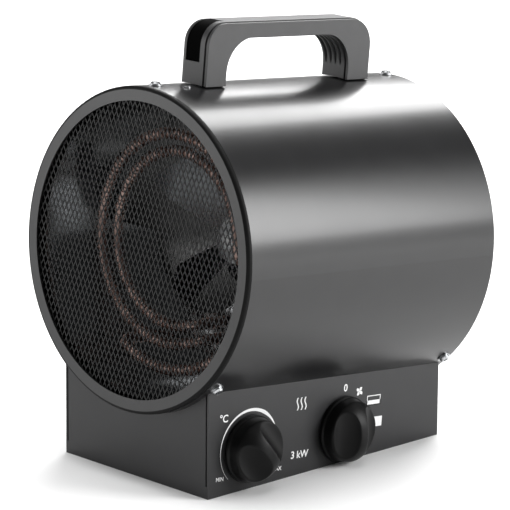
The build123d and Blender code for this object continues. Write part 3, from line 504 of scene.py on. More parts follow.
# ---------------------------------------------------------------- geometry node trees
class NodeGraph:
    """One geometry node tree, written socket by socket."""

    def __init__(self, name: str, sizes: dict[str, float]) -> None:
        """Start a tree with a geometry input and one number input for each size.

        Args:
            name: name of the tree.
            sizes: input names with the values that the modifier gives them.
        """
        self.tree = bpy.data.node_groups.new(name, "GeometryNodeTree")
        self.sizes = sizes
        face = self.tree.interface
        face.new_socket("Geometry", in_out="OUTPUT", socket_type="NodeSocketGeometry")
        face.new_socket("Geometry", in_out="INPUT", socket_type="NodeSocketGeometry")
        self.identifiers = {
            size: face.new_socket(size, in_out="INPUT", socket_type="NodeSocketFloat").identifier
            for size in sizes
        }
        self.inputs = self.tree.nodes.new("NodeGroupInput")
        self.output = self.tree.nodes.new("NodeGroupOutput")

    def size(self, name: str) -> bpy.types.NodeSocket:
        """The socket of a named size."""
        return self.inputs.outputs[name]

    def add(
        self, kind: str, links: dict[str | int, Feed] | None = None, **settings: Setting
    ) -> bpy.types.Node:
        """Add a node.

        Args:
            kind: the node's type name.
            links: what feeds each input, by name or index: a socket, or a plain value.
            settings: the node's own properties.

        Returns:
            The node.
        """
        node = self.tree.nodes.new(kind)
        for key, value in settings.items():
            setattr(node, key, value)
        for key, value in (links or {}).items():
            if isinstance(value, bpy.types.NodeSocket):
                self.tree.links.new(value, node.inputs[key])
            else:
                node.inputs[key].default_value = value
        return node

    def math(self, operation: str, first: Feed, second: Feed = 0.0) -> bpy.types.NodeSocket:
        """One sum of two numbers or sockets."""
        return self.add("ShaderNodeMath", {0: first, 1: second}, operation=operation).outputs[0]

    def vector(self, operation: str, first: Feed, second: Feed = (0.0, 0.0, 0.0)) -> bpy.types.NodeSocket:
        """One vector sum of two vectors or sockets."""
        return self.add("ShaderNodeVectorMath", {0: first, 1: second}, operation=operation).outputs[0]

    def scaled(self, vector: Feed, factor: Feed) -> bpy.types.NodeSocket:
        """A vector times a number."""
        return self.add("ShaderNodeVectorMath", {0: vector, "Scale": factor}, operation="SCALE").outputs[0]

    def combine(self, x: Feed = 0.0, y: Feed = 0.0, z: Feed = 0.0) -> bpy.types.NodeSocket:
        """A vector of three numbers or sockets."""
        return self.add("ShaderNodeCombineXYZ", {0: x, 1: y, 2: z}).outputs[0]

    def finish(self, geometry: bpy.types.NodeSocket, material: bpy.types.Material) -> None:
        """End the tree with Realize Instances and Set Material."""
        real = self.add("GeometryNodeRealizeInstances", {0: geometry})
        painted = self.add("GeometryNodeSetMaterial", {"Geometry": real.outputs[0], "Material": material})
        self.tree.links.new(painted.outputs[0], self.output.inputs[0])

    def apply(self, data: bpy.types.ID) -> bpy.types.Mesh:
        """Run the tree on some data and return the plain mesh."""
        carrier = carrier_of(data)
        modifier = carrier.modifiers.new("nodes", "NODES")
        modifier.node_group = self.tree
        for size, value in self.sizes.items():
            modifier[self.identifiers[size]] = value
        return evaluated(carrier)


# ---------------------------------------------------------------- mesh guards at both ends
@dataclass(frozen=True)
class MeshGuard:
    """An expanded-metal guard: staggered diamonds in one sheet, long way upright.

    Attributes:
        node: CAD node that it stands for.
        column_pitch: full width of a diamond with its strand.
        row_pitch: full height of a diamond with its strand.
        strand: width of a strand.
        thickness: thickness of the sheet.
        twist: how far each strand's edges lean out of the sheet.
    """

    node: str
    column_pitch: float = 0.0043
    row_pitch: float = 0.00875
    strand: float = 0.0009
    thickness: float = 0.0005
    twist: float = 0.0003

    def tree(self, radius: float) -> NodeGraph:
        """The tree that cuts and opens the sheet's diamonds inside a circle."""
        half_width, half_height = self.column_pitch / 2, self.row_pitch / 2
        to_edge = half_width * half_height / math.hypot(half_width, half_height)
        graph = NodeGraph(
            self.node + "_diamonds",
            {
                "Half Width": half_width,
                "Half Height": half_height,
                "Opening": 1 - self.strand / 2 / to_edge,
                "Thickness": self.thickness,
                "Twist": self.twist,
                "Radius": radius,
            },
        )
        cell = self._cell(graph)
        columns, rows = 2 * int(radius / half_width) + 3, 2 * int(radius / half_height) + 3
        grid = graph.add("GeometryNodeMeshGrid", {
            "Vertices X": columns, "Vertices Y": rows,
            "Size X": graph.math("MULTIPLY", graph.size("Half Width"), columns - 1.0),
            "Size Y": graph.math("MULTIPLY", graph.size("Half Height"), rows - 1.0),
        })
        number = graph.add("GeometryNodeInputIndex").outputs[0]
        column = graph.math("FLOOR", graph.math("DIVIDE", number, float(rows)))
        row = graph.math("SUBTRACT", number, graph.math("MULTIPLY", column, float(rows)))
        odd = graph.math("MODULO", graph.math("ADD", column, row), 2.0)
        kept = graph.add("GeometryNodeDeleteGeometry", {
            "Geometry": grid.outputs["Mesh"], "Selection": graph.math("GREATER_THAN", odd, 0.5),
        }, domain="POINT")
        cells = graph.add("GeometryNodeInstanceOnPoints", {"Points": kept.outputs[0], "Instance": cell})
        sheet = graph.add("GeometryNodeRealizeInstances", {0: cells.outputs[0]})
        welded = graph.add("GeometryNodeMergeByDistance", {
            "Geometry": sheet.outputs[0], "Distance": half_width / 50,
        })
        where = graph.add("GeometryNodeInputPosition").outputs[0]
        away = graph.add("ShaderNodeVectorMath", {0: where}, operation="LENGTH").outputs["Value"]
        outside = graph.math("GREATER_THAN", away, graph.size("Radius"))
        trimmed = graph.add("GeometryNodeDeleteGeometry", {
            "Geometry": welded.outputs[0], "Selection": outside,
        }, domain="FACE").outputs[0]
        raised = graph.add("GeometryNodeExtrudeMesh", {
            "Mesh": trimmed, "Offset": graph.combine(z=1.0), "Offset Scale": graph.size("Thickness"),
            "Individual": False,
        }, mode="FACES").outputs["Mesh"]
        under = graph.add("GeometryNodeFlipFaces", {"Mesh": trimmed}).outputs[0]
        both = graph.add("GeometryNodeJoinGeometry")
        graph.tree.links.new(raised, both.inputs[0])
        graph.tree.links.new(under, both.inputs[0])
        closed = graph.add("GeometryNodeMergeByDistance", {
            "Geometry": both.outputs[0], "Distance": self.thickness / 20,
        })
        graph.finish(closed.outputs[0], MESH_PAINT.material())
        return graph

    @staticmethod
    def _cell(graph: NodeGraph) -> bpy.types.NodeSocket:
        """One diamond frame whose inner edges lean to opposite sides of the sheet."""
        rim = graph.add("GeometryNodeMeshCircle", {"Vertices": 4, "Radius": 1.0}, fill_type="NGON")
        inner = graph.add("GeometryNodeExtrudeMesh", {
            "Mesh": rim.outputs[0], "Offset Scale": 0.0,
        }, mode="FACES")
        where = graph.add("GeometryNodeInputPosition").outputs[0]
        shrink = graph.scaled(where, graph.size("Opening"))
        inset = graph.add("GeometryNodeSetPosition", {
            "Geometry": inner.outputs["Mesh"], "Selection": inner.outputs["Top"], "Position": shrink,
        })
        across = graph.add("ShaderNodeSeparateXYZ", {0: where}).outputs[0]
        lean = graph.math("MULTIPLY", graph.math("MULTIPLY", across, graph.size("Twist")), -1.0)
        leant = graph.add("GeometryNodeSetPosition", {
            "Geometry": inset.outputs[0], "Selection": inner.outputs["Top"], "Offset": graph.combine(z=lean),
        })
        opened = graph.add("GeometryNodeDeleteGeometry", {
            "Geometry": leant.outputs[0], "Selection": inner.outputs["Top"],
        }, domain="FACE")
        size = graph.combine(graph.size("Half Width"), graph.size("Half Height"), 1.0)
        fitted = graph.add("GeometryNodeTransform", {"Geometry": opened.outputs[0], "Scale": size})
        return fitted.outputs[0]

    def build(self) -> None:
        """Make the guard at its CAD node's place."""
        low, high = TUBE.stations(self.node)
        edge = max(math.hypot(v.x, v.y) for v in TUBE.local(self.node))
        mesh = self.tree(edge).apply(bpy.data.meshes.new("sheet"))
        mesh.transform(TUBE.matrix() @ Matrix.Translation((0, 0, (low + high - self.thickness) / 2)))
        place(self.node + "_mesh", mesh, ROOT, "mesh_paint", self.node)


# ---------------------------------------------------------------- outlet ring
@dataclass(frozen=True)
class OutletRing:
    """The front ring, whose rolled rim is painted a darker, duller black than its face as painted shade for
    the shadowed rim and the gap behind it.

    Attributes:
        node: CAD node that it stands for.
        rim: how much of the ring's outer radius takes the rim's painted shade.
    """

    node: str = "front_ring"
    rim: float = 0.0022

    def build(self) -> None:
        """Make the ring from a copy of its CAD node."""
        mesh = frame["nodes"][self.node].data.copy()
        mesh.materials.clear()
        mesh.materials.append(SHELL_PAINT.material())
        mesh.materials.append(RIM_PAINTED_SHADE.material())
        back = TUBE.matrix().inverted()
        outer = max(math.hypot(v.x, v.y) for v in TUBE.local(self.node))
        # Faces near the outer edge take the second material, the rim's painted shade.
        for face in mesh.polygons:
            centre = back @ face.center
            face.material_index = int(math.hypot(centre.x, centre.y) > outer - self.rim)
        place(self.node + "_rolled", mesh, ROOT, "shell_paint", self.node)


# ---------------------------------------------------------------- heating elements
@dataclass(frozen=True)
class FinnedElement:
    """A tubular element with a spiral fin, bent into an open loop with both ends turned back.

    Attributes:
        node: CAD node that it stands for.
        loop_radius: radius of the loop's centre line.
        rise: height of the loop's centre above the tube's axis.
        start: where the loop starts, in degrees from +X.
        sweep: how far the loop goes round.
    """

    node: str
    loop_radius: float
    rise: float
    start: float
    sweep: float
    core_radius: float = 0.0029
    fin_radius: float = 0.0040
    fin_root: float = 0.93
    fin_pitch: float = 0.0034
    fin_thickness: float = 0.0006
    bend_radius: float = 0.0085
    lead_end: float = 0.0462
    steps_per_turn: int = 14

    def path(self, station: float) -> list[Point]:
        """The centre line, in the tube's coordinates, from one lead's end to the other's."""
        trim = math.degrees(self.bend_radius / self.loop_radius)
        first, last = self.start + trim, self.start + self.sweep - trim
        count = int(self.sweep / 2)
        ring = arc((0, self.rise), self.loop_radius, first, last, count)
        loop = [(x, y, station) for x, y in ring]
        head = [self._bend(self.start + trim, -1, station, turn) for turn in range(90, 0, -10)]
        tail = [self._bend(self.start + self.sweep - trim, 1, station, turn) for turn in range(10, 100, 10)]
        return [(*head[0][:2], self.lead_end)] + head + loop + tail + [(*tail[-1][:2], self.lead_end)]

    def _bend(self, angle: float, onward: int, station: float, turn: float) -> Point:
        """A point of the round bend between the loop and a lead.

        Args:
            angle: where the loop stops, in degrees from +X.
            onward: 1 at the loop's last end, -1 at its first.
            station: station of the loop.
            turn: degrees into the bend.

        Returns:
            The point, in the tube's coordinates.
        """
        a = math.radians(angle)
        reach = self.bend_radius * math.sin(math.radians(turn)) * onward
        drop = self.bend_radius * (1 - math.cos(math.radians(turn)))
        x = self.loop_radius * math.cos(a) - reach * math.sin(a)
        y = self.rise + self.loop_radius * math.sin(a) + reach * math.cos(a)
        return x, y, station - drop

    def tree(self) -> NodeGraph:
        """The tree that sweeps the core and winds the fin round it."""
        graph = NodeGraph(self.node + "_fin", {
            "Core Radius": self.core_radius,
            "Fin Radius": self.fin_radius,
            "Fin Pitch": self.fin_pitch,
            "Fin Thickness": self.fin_thickness,
        })
        path = graph.inputs.outputs["Geometry"]
        round_core = graph.add("GeometryNodeCurvePrimitiveCircle", {
            "Resolution": 18, "Radius": graph.size("Core Radius"),
        })
        core = graph.add("GeometryNodeCurveToMesh", {
            "Curve": path, "Profile Curve": round_core.outputs[0], "Fill Caps": True,
        })
        step = graph.math("DIVIDE", graph.size("Fin Pitch"), float(self.steps_per_turn))
        fine = graph.add("GeometryNodeResampleCurve", {"Curve": path, "Length": step}, mode="LENGTH")
        number = graph.add("GeometryNodeInputIndex").outputs[0]
        angle = graph.math("MULTIPLY", number, 2 * math.pi / self.steps_per_turn)
        normal = graph.add("GeometryNodeInputNormal").outputs[0]
        tangent = graph.add("GeometryNodeInputTangent").outputs[0]
        side = graph.vector("CROSS_PRODUCT", tangent, normal)
        along_normal = graph.scaled(normal, graph.math("COSINE", angle))
        along_side = graph.scaled(side, graph.math("SINE", angle))
        outward = graph.vector("ADD", along_normal, along_side)
        held = graph.add("GeometryNodeCaptureAttribute", {"Geometry": fine.outputs[0]})
        held.capture_items.new("VECTOR", "Outward")
        graph.tree.links.new(outward, held.inputs["Outward"])
        root = self.core_radius * self.fin_root
        middle = graph.math("MULTIPLY", graph.math("ADD", graph.size("Fin Radius"), root), 0.5)
        height = graph.math("SUBTRACT", graph.size("Fin Radius"), root)
        wound = graph.add("GeometryNodeSetPosition", {
            "Geometry": held.outputs[0], "Offset": graph.scaled(held.outputs["Outward"], middle),
        })
        turned = graph.add("GeometryNodeSetCurveNormal", {"Curve": wound.outputs[0]}, mode="FREE")
        graph.tree.links.new(held.outputs["Outward"], turned.inputs["Normal"])
        ribbon = graph.add("GeometryNodeCurvePrimitiveQuadrilateral", {
            "Width": height, "Height": graph.size("Fin Thickness"),
        })
        fin = graph.add("GeometryNodeCurveToMesh", {
            "Curve": turned.outputs[0], "Profile Curve": ribbon.outputs[0], "Fill Caps": True,
        })
        both = graph.add("GeometryNodeJoinGeometry")
        graph.tree.links.new(core.outputs[0], both.inputs[0])
        graph.tree.links.new(fin.outputs[0], both.inputs[0])
        soft = graph.add("GeometryNodeSetShadeSmooth", {0: both.outputs[0]})
        graph.finish(soft.outputs[0], ELEMENT_STEEL.material())
        return graph

    def build(self) -> None:
        """Make the element at its CAD node's place."""
        station = TUBE.stations(self.node)[1] - self.fin_radius
        points = self.path(station)
        line = bpy.data.curves.new("path", "CURVE")
        line.dimensions = "3D"
        spline = line.splines.new("POLY")
        spline.points.add(len(points) - 1)
        for point, place_at in zip(spline.points, points):
            point.co = (*place_at, 1)
        mesh = self.tree().apply(line)
        smooth(mesh, 40)
        mesh.transform(TUBE.matrix())
        place(self.node + "_finned", mesh, ROOT, "element_steel", self.node)


# ---------------------------------------------------------------- carrying handle
@dataclass(frozen=True)
class CarryHandle:
    """The two-part moulded handle: a body with a window in its front leg, and a cover on its right side.

    Heights are above the tube's axis and stations are along it.
    """

    half_width: float = 0.0126
    cover: float = 0.0022
    seam: float = 0.0007
    parting: float = 0.0008
    top: float = 0.1491
    underside: float = 0.1379
    front: float = 0.0685
    front_inner: float = 0.0491
    rear_inner: float = -0.0621
    rear: float = -0.0834
    front_corner: float = 0.0155
    rear_corner: float = 0.0190
    inner_corner: float = 0.0220
    foot_gap: float = 0.0009
    window_low: float = 0.1225
    window_end: float = 0.0490
    window_shift: float = 0.001
    window_half: float = 0.0066
    window_depth: float = 0.0042
    window_shade_drop: float = 0.0006
    outer_round: float = 0.0045
    inner_round: float = 0.0028
    rib_count: int = 4
    rib_low: float = 0.1180
    rib_depth: float = 0.0030

    def outline(self, inset: float, foot: float) -> list[tuple[float, float]]:
        """The side outline as (station, height) points, drawn in by `inset`."""
        top, under = self.top - inset, self.underside + inset
        front, inner = self.front - inset, self.front_inner + inset
        rear_inner, rear = self.rear_inner - inset, self.rear + inset
        front_r, rear_r = self.front_corner - inset, self.rear_corner - inset
        inner_r = self.inner_corner + inset
        points = [(front, foot)]
        points += arc((front - front_r, top - front_r), front_r, 0, 90, 12)
        points += arc((rear + rear_r, top - rear_r), rear_r, 90, 180, 12)
        points += [(rear, foot), (rear_inner, foot)]
        points += arc((rear_inner + inner_r, under - inner_r), inner_r, 180, 90, 12)
        points += arc((inner - inner_r, under - inner_r), inner_r, 90, 0, 12)
        return points + [(inner, foot)]

    def slab(self, inset: float, foot: float, low: float, high: float) -> bpy.types.Mesh:
        """The outline as a slab from x `low` to x `high`, in the tube's coordinates."""
        flat = [Vector((low, height, station)) for station, height in self.outline(inset, foot)]
        return mesh_from(lambda shape: prism(shape, flat, Vector((high - low, 0, 0))))

    def tube_cutter(self, radius: float) -> bpy.types.Mesh:
        """A round bar as long as the handle, to cut the feet to the tube's curve."""
        ends = (self.rear - 0.01, self.front + 0.01)
        profile = [(0, ends[0]), (radius, ends[0]), (radius, ends[1]), (0, ends[1])]
        return mesh_from(lambda shape: lathe(shape, profile, 192))

    def window_prism(self, deep: float, proud: float, shrink: float = 0.0) -> bpy.types.Mesh:
        """The window in the front leg, which follows the corner up onto the top.

        Args:
            deep: how far it reaches below the handle's surface.
            proud: how far it reaches above that surface.
            shrink: how far its sides are drawn in.

        Returns:
            The prism, in the tube's coordinates.
        """
        radius, centre = self.front_corner, (self.front - self.front_corner, self.top - self.front_corner)
        end = self.window_end + shrink
        low = self.window_low + shrink
        outer, inner = arc(centre, radius + proud, 0, 90, 10), arc(centre, radius - deep, 90, 0, 10)
        points = [(self.front + proud, low)] + outer + [(end, self.top + proud)]
        points += [(end, self.top - deep)] + inner + [(self.front - deep, low)]
        half = self.window_half - shrink
        flat = [Vector((-half - self.window_shift, height, station)) for station, height in points]
        return mesh_from(lambda shape: prism(shape, flat, Vector((2 * half, 0, 0))))

    def round_left(self, mesh: bpy.types.Mesh) -> bpy.types.Mesh:
        """Round the edges of the body's left side, the outer loop more than the inner one.

        Args:
            mesh: the body before any cut.

        Returns:
            The same mesh, rounded.
        """
        shape = bmesh.new()
        shape.from_mesh(mesh)
        left = min(v.co.x for v in shape.verts)
        outer, inner = [], []
        for edge in shape.edges:
            if all(abs(v.co.x - left) < 1e-6 for v in edge.verts):
                middle = (edge.verts[0].co + edge.verts[1].co) / 2
                within = self.rear_inner - 1e-5 <= middle.z <= self.front_inner + 1e-5
                loop = inner if within and middle.y < self.underside + 1e-5 else outer
                if abs(edge.verts[0].co.y - edge.verts[1].co.y) > 1e-6 or middle.y > self.rib_low:
                    loop.append(edge)
        bmesh.ops.bevel(shape, geom=outer, offset=self.outer_round, segments=6, profile=0.5, affect="EDGES")
        inner = [edge for edge in inner if edge.is_valid]
        bmesh.ops.bevel(shape, geom=inner, offset=self.inner_round, segments=5, profile=0.5, affect="EDGES")
        shape.to_mesh(mesh)
        shape.free()
        return mesh

    def groove_cutters(self) -> list[bpy.types.Mesh]:
        """Tapered grooves up the finger side of the rear leg, which leave ribs between them."""
        made = []
        width = 2 * (self.half_width - self.cover) / (self.rib_count + 0.6)
        centre_y = self.underside - self.inner_corner
        for index in range(self.rib_count):
            x = (index - (self.rib_count - 1) / 2) * width - self.cover / 2
            half = width * 0.46
            path = [(self.rear_inner, self.rib_low)]
            path += arc((self.rear_inner + self.inner_corner, centre_y), self.inner_corner, 180, 95, 8)
            made.append(self._groove(x, half, path))
        return made

    def _groove(self, x: float, half: float, path: list[tuple[float, float]]) -> bpy.types.Mesh:
        """One V-shaped groove that deepens and widens from the first point of its path.

        Args:
            x: middle of the groove.
            half: half its full width.
            path: (station, height) points along the leg's surface.

        Returns:
            The cutter, in the tube's coordinates.
        """

        def build(shape: bmesh.types.BMesh) -> None:
            """Join a triangle at each point of the path to the next."""
            rows = []
            centre = Vector((self.rear_inner + self.inner_corner, self.underside - self.inner_corner))
            for step, (station, height) in enumerate(path):
                share = min(1.0, (step + 0.05) / 3)
                spot = Vector((station, height))
                inward = (centre - spot).normalized() if step else Vector((1, 0))
                lip = spot + inward * 0.0008
                floor = spot - inward * self.rib_depth * share
                wide = half * (0.15 + 0.85 * share)
                rows.append([
                    shape.verts.new((x - wide, lip.y, lip.x)),
                    shape.verts.new((x + wide, lip.y, lip.x)),
                    shape.verts.new((x, floor.y, floor.x)),
                ])
            shape.faces.new(rows[0])
            shape.faces.new(list(reversed(rows[-1])))
            for low, high in zip(rows, rows[1:]):
                for i in range(3):
                    j = (i + 1) % 3
                    shape.faces.new((low[i], low[j], high[j], high[i]))

        return mesh_from(build)

    def build(self) -> None:
        """Make both parts of the handle."""
        shell_radius = max(math.hypot(v.x, v.y) for v in TUBE.local("outer_shell"))
        foot = shell_radius - 0.004
        cover_start = self.half_width - self.cover
        cut_radius = shell_radius + self.foot_gap
        body = self.round_left(self.slab(0, foot, -self.half_width, cover_start - self.seam))
        window = self.window_prism(self.window_depth, 0.01)
        cutters = (self.tube_cutter(cut_radius), window, *self.groove_cutters())
        body = rounded(rounded(body, 0, cutters=cutters), 0.0005)
        cover = self.slab(self.parting, foot, cover_start, self.half_width)
        cover = rounded(cover, 0, cutters=(self.tube_cutter(cut_radius),))
        cover = rounded(cover, 0.0007)
        # Painted shade: a near-black sheet inside the seam between body and cover, and another sunk just
        # below the surface in the window, stand in for the shade in these hollows.
        seam_shade_sheet = self.slab(0.0022, foot, cover_start - 0.003, cover_start + 0.001)
        seam_shade_sheet = rounded(seam_shade_sheet, 0, cutters=(self.tube_cutter(shell_radius + 0.0003),))
        window_shade_sheet = rounded(self.window_prism(self.window_depth - 0.0001, -self.window_shade_drop, 0.0001), 0)
        for name, mesh, finish, nodes in (
            ("handle_moulding", body, HANDLE_PLASTIC, ("handle_body",)),
            ("handle_side_cover", cover, HANDLE_PLASTIC, ("handle_cover",)),
            ("handle_seam_painted_shade", seam_shade_sheet, HOLLOW_PAINTED_SHADE, ()),
            ("handle_window_painted_shade", window_shade_sheet, HOLLOW_PAINTED_SHADE, ()),
        ):
            mesh.transform(TUBE.matrix())
            mesh.materials.clear()
            mesh.materials.append(finish.material())
            place(name, mesh, ROOT, "handle_plastic", *nodes)


# ---------------------------------------------------------------- knobs
@dataclass(frozen=True)
class MouldedKnob:
    """A knob with the softened edges of a moulding.

    Attributes:
        node: CAD node that it stands for.
        body: CAD body that it turns with.
        grid: size of the cells that its surface is rebuilt from.
        passes: rounds of softening.
    """

    node: str
    body: str
    grid: float = 0.00045
    passes: int = 6

    def build(self) -> None:
        """Make the knob from a copy of its CAD node."""
        carrier = carrier_of(frame["nodes"][self.node].data.copy())
        remesh = carrier.modifiers.new("remesh", "REMESH")
        remesh.mode = "VOXEL"
        remesh.voxel_size = self.grid
        soften = carrier.modifiers.new("soften", "SMOOTH")
        soften.iterations = self.passes
        mesh = evaluated(carrier)
        smooth(mesh, 60)
        mesh.materials.clear()
        mesh.materials.append(KNOB_PLASTIC.material())
        place(self.node + "_moulded", mesh, self.body, "knob_plastic", self.node)


# ---------------------------------------------------------------- panel print
@dataclass(frozen=True)
class PanelPrint:
    """White print on the control panel. Places are (towards the rear, up) from each knob's middle."""

    thickness: float = 0.00006
    slant: float = -5.3
    swoosh_radius: float = 0.0256
    swoosh_start: float = 223.0
    swoosh_end: float = 21.0
    swoosh_width: float = 0.0030
    hair: float = 0.00025
    text_height: float = 0.0049
    small_height: float = 0.0027

    def layer(self, name: str, mesh: bpy.types.Mesh, y: float, z: float, slant: float = 0.0) -> None:
        """Lay a flat mesh, drawn in x and y, on the panel's outside.

        Args:
            name: name of the piece.
            mesh: the print.
            y: where its middle goes, towards the rear.
            z: where its middle goes, upwards.
            slant: its turn in degrees.
        """
        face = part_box("control_panel")[1].x
        turn = Matrix(((0, 0, 1), (1, 0, 0), (0, 1, 0))).to_4x4()
        mesh.transform(Matrix.Rotation(math.radians(slant), 4, "Z"))
        mesh.transform(Matrix.Translation((face + self.thickness * 0.2, y, z)) @ turn)
        mesh.materials.clear()
        mesh.materials.append(PANEL_PRINT.material())
        place(name, mesh, ROOT, "base_paint")

    def words(self, name: str, text: str, height: float, y: float, z: float) -> None:
        """Lay generic lettering on the panel.

        Args:
            name: name of the piece.
            text: what it says.
            height: height of its capitals.
            y: where its middle goes, towards the rear.
            z: where its middle goes, upwards.
        """
        line = bpy.data.curves.new("text", "FONT")
        line.body = text
        line.size = height / 0.7
        line.align_x = "CENTER"
        line.align_y = "CENTER"
        line.extrude = self.thickness / 2
        line.offset = height * 0.022
        mesh = evaluated(carrier_of(line))
        self.layer(name, mesh, y, z, self.slant)

    def flat(self, outlines: list[list[tuple[float, float]]]) -> bpy.types.Mesh:
        """A thin mesh of several filled outlines."""

        def build(shape: bmesh.types.BMesh) -> None:
            """Raise each outline by the print's thickness."""
            for outline in outlines:
                prism(shape, [Vector((x, y, 0)) for x, y in outline], Vector((0, 0, self.thickness)))

        return mesh_from(build)

    def swoosh(self) -> bpy.types.Mesh:
        """The thermostat's arc, hair-thin at its low end and widest before its tip."""
        steps = 60

        def edge(side: float) -> list[tuple[float, float]]:
            """The arc's outer (1) or inner (-1) edge."""
            points = []
            for i in range(steps + 1):
                share = i / steps
                swell = share ** 1.6 if share < 0.82 else (0.82 ** 1.6) * (1 - share) / 0.18
                half = self.hair / 2 + self.swoosh_width / 2 * swell
                turn = math.radians(self.swoosh_start + (self.swoosh_end - self.swoosh_start) * share)
                radius = self.swoosh_radius + side * half
                points.append((radius * math.cos(turn), radius * math.sin(turn)))
            return points

        outer, inner = edge(1.0), edge(-1.0)
        pairs = zip(outer, outer[1:], inner[1:], inner)
        return self.flat([list(quad) for quad in pairs])

    def frame_outline(self, width: float, height: float, line: float) -> list[list[tuple[float, float]]]:
        """Four bars that outline a box."""
        w, h = width / 2, height / 2
        bar = [(-w, h - line), (w, h - line), (w, h), (-w, h)]
        side = [(w - line, -h), (w, -h), (w, h - line), (w - line, h - line)]
        flipped = [(x, -y) for x, y in reversed(bar)]
        return [bar, flipped, side, [(-x, y) for x, y in reversed(side)]]

    def fan_symbol(self, radius: float) -> list[list[tuple[float, float]]]:
        """Four leaf-shaped blades round a hub."""
        blades = []
        for turn in (45, 135, 225, 315):
            leaf = arc((radius * 0.55, 0), radius * 0.45, 0, 180, 6)
            leaf += arc((radius * 0.5, 0), radius * 0.25, 200, 340, 4)
            c, s = math.cos(math.radians(turn)), math.sin(math.radians(turn))
            blades.append([(x * c - y * s, x * s + y * c) for x, y in leaf])
        return blades + [arc((0, 0), radius * 0.2, 0, 330, 11)]

    def heat_waves(self, height: float) -> list[list[tuple[float, float]]]:
        """Three rising wavy lines."""
        waves, half = [], height * 0.055
        for x in (-0.42, 0.0, 0.42):
            middle = [
                (x * height + math.sin(2 * math.pi * i / 16) * height * 0.09, (i / 16 - 0.5) * height)
                for i in range(17)
            ]
            waves += [
                [(a[0] - half, a[1]), (a[0] + half, a[1]), (b[0] + half, b[1]), (b[0] - half, b[1])]
                for a, b in zip(middle, middle[1:])
            ]
        return waves

    def build(self) -> None:
        """Print the whole panel."""
        low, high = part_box("thermostat_knob")
        dial_y, dial_z = (low.y + high.y) / 2, (low.z + high.z) / 2
        low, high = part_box("selector_knob")
        switch_y, switch_z = (low.y + high.y) / 2, (low.z + high.z) / 2
        self.layer("print_heat_scale", self.swoosh(), dial_y, dial_z)
        self.words("print_degrees", "°C", self.text_height, dial_y - 0.0226, dial_z + 0.0240)
        self.words("print_lowest", "MIN", self.small_height, dial_y - 0.0261, dial_z - 0.0160)
        self.words("print_highest", "MAX", self.small_height, dial_y + 0.0252, dial_z - 0.0196)
        self.words("print_off", "0", self.text_height, switch_y + 0.0026, switch_z + 0.0275)
        fan = self.flat(self.fan_symbol(0.0034))
        self.layer("print_fan", fan, switch_y + 0.0157, switch_z + 0.0228, self.slant)
        width, height, line = 0.0129, 0.0068, 0.0006
        lower = [(-width / 2, -height / 2), (width / 2, -height / 2), (width / 2, 0), (-width / 2, 0)]
        half_power = self.flat([*self.frame_outline(width, height, line), lower])
        self.layer("print_half_power", half_power, switch_y + 0.0293, switch_z + 0.0141, self.slant)
        full_power = self.flat([[(-width / 2, -height / 2), (width / 2, -height / 2), (width / 2, height / 2),
                                 (-width / 2, height / 2)]])
        self.layer("print_full_power", full_power, switch_y + 0.0309, switch_z - 0.0013, self.slant)
        middle = (dial_y + switch_y) / 2
        self.words("print_power", "3 kW", self.text_height, middle + 0.0029, switch_z - 0.0097)
        waves = self.flat(self.heat_waves(0.0085))
        self.layer("print_heat_waves", waves, middle + 0.0045, switch_z + 0.0250, self.slant)


# ---------------------------------------------------------------- carried-over CAD nodes
def dress_nodes() -> None:
    """Give every carried-over CAD node the finish of its material slot."""
    for name, node in frame["nodes"].items():
        slot = node.data.materials[0].name
        node.data.materials[0] = SLOT_FINISHES[slot].material()
        log.info("%s: %s", name, slot)


# ---------------------------------------------------------------- studio
@dataclass(frozen=True)
class Softbox:
    """A rectangular soft light aimed at the heater.

    Attributes:
        name: name of the light.
        towards: direction of the light from the heater.
        distance: how far away it stands.
        width: its width.
        height: its height.
        power: its power in watts.
    """

    name: str
    towards: Point
    distance: float
    width: float
    height: float
    power: float

    def build(self, target: Vector) -> None:
        """Set the light up, facing the target."""
        data = bpy.data.lights.new(self.name, "AREA")
        data.shape = "RECTANGLE"
        data.size, data.size_y, data.energy = self.width, self.height, self.power
        lamp = bpy.data.objects.new(self.name, data)
        direction = Vector(self.towards).normalized()
        lamp.location = target + direction * self.distance
        lamp.rotation_euler = direction.to_track_quat("Z", "Y").to_euler()
        bpy.context.scene.collection.objects.link(lamp)


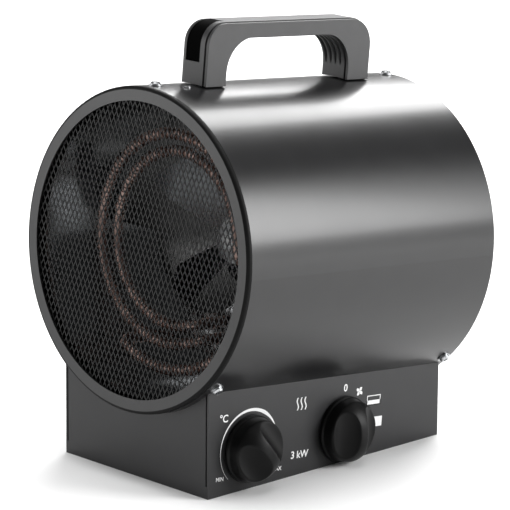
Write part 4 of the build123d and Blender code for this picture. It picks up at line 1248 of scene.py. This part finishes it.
@dataclass(frozen=True)
class Studio:
    """Pale floor, soft lights and the camera."""

    azimuth: float = 46.21
    elevation: float = 14.10
    roll: float = 0.46
    distance: float = 2.358
    lens: float = 248.4
    aim_drop: float = 0.0163
    floor_size: float = 40.0
    ambient: float = 0.09
    overhead: float = 3.3
    boxes: tuple[Softbox, ...] = (
        Softbox("high_back_left", (-0.40, 0.67, 0.56), 2.3, 1.3, 1.1, 47.0),
        Softbox("low_back_right", (0.78, 0.58, 0.35), 2.2, 1.0, 1.2, 50.0),
        Softbox("front_left", (-0.72, -0.70, 0.25), 2.0, 1.3, 1.1, 12.0),
    )

    def build(self) -> None:
        """Set the floor, the lights and the camera."""
        bpy.context.view_layer.update()
        low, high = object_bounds()
        middle = (low + high) / 2
        self.floor(low.z)
        for box in self.boxes:
            box.build(middle)
        self.sky()
        self.camera(Vector((0, 0, middle.z - self.aim_drop)))

    def floor(self, height: float) -> None:
        """A wide pale floor under the heater."""
        half = self.floor_size / 2
        square = ((-half, -half), (half, -half), (half, half), (-half, half))
        corners = [Vector((x, y, height)) for x, y in square]

        def build(shape: bmesh.types.BMesh) -> None:
            """Add the one face of the floor."""
            shape.faces.new([shape.verts.new(c) for c in corners])

        mesh = mesh_from(build)
        mesh.materials.append(FLOOR_PAPER.material())
        floor = bpy.data.objects.new("floor", mesh)
        bpy.context.scene.collection.objects.link(floor)
        floor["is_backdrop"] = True

    def sky(self) -> None:
        """Even ambient light and a broad overhead light for the floor."""
        world = bpy.data.worlds.new("studio")
        world.use_nodes = True
        world.node_tree.nodes["Background"].inputs["Color"].default_value = (1, 1, 1, 1)
        world.node_tree.nodes["Background"].inputs["Strength"].default_value = self.ambient
        bpy.context.scene.world = world
        data = bpy.data.lights.new("overhead", "SUN")
        data.energy = self.overhead
        data.angle = math.radians(50)
        lamp = bpy.data.objects.new("overhead", data)
        lamp.rotation_euler = Vector((-0.1, 0.05, 1)).to_track_quat("Z", "Y").to_euler()
        bpy.context.scene.collection.objects.link(lamp)
        bpy.context.scene.view_settings.view_transform = "Standard"

    def camera(self, aim: Vector) -> None:
        """A long lens at the viewing angle."""
        a, e = math.radians(self.azimuth), math.radians(self.elevation)
        back = Vector((math.sin(a) * math.cos(e), -math.cos(a) * math.cos(e), math.sin(e)))
        data = bpy.data.cameras.new("camera")
        data.lens = self.lens
        data.sensor_width = 36.0
        data.clip_end = 100.0
        camera = bpy.data.objects.new("camera", data)
        camera.location = aim + back * self.distance
        turn = (-back).to_track_quat("-Z", "Y").to_matrix()
        camera.rotation_euler = (turn @ Matrix.Rotation(math.radians(self.roll), 3, "Z")).to_euler()
        bpy.context.scene.collection.objects.link(camera)
        bpy.context.scene.camera = camera


def main() -> None:
    """Build every sub-assembly in order."""
    logging.basicConfig(level=logging.INFO, format="%(message)s")
    bpy.context.view_layer.update()
    Studio().build()
    dress_nodes()
    OutletRing().build()
    MeshGuard("front_grille").build()
    MeshGuard("rear_grille", strand=0.0017, column_pitch=0.0056, row_pitch=0.0112).build()
    FinnedElement("heating_element_outer", 0.0693, 0.0055, -14, 312).build()
    FinnedElement("heating_element_inner", 0.0576, 0.0055, -6, 300).build()
    FinnedElement("heating_element_lower", 0.0840, 0.0030, -120, 82).build()
    CarryHandle().build()
    MouldedKnob("thermostat_knob", "thermostat_control").build()
    MouldedKnob("selector_knob", "selector_control").build()
    PanelPrint().build()
    bpy.context.view_layer.update()


if __name__ == "__main__":
    main()
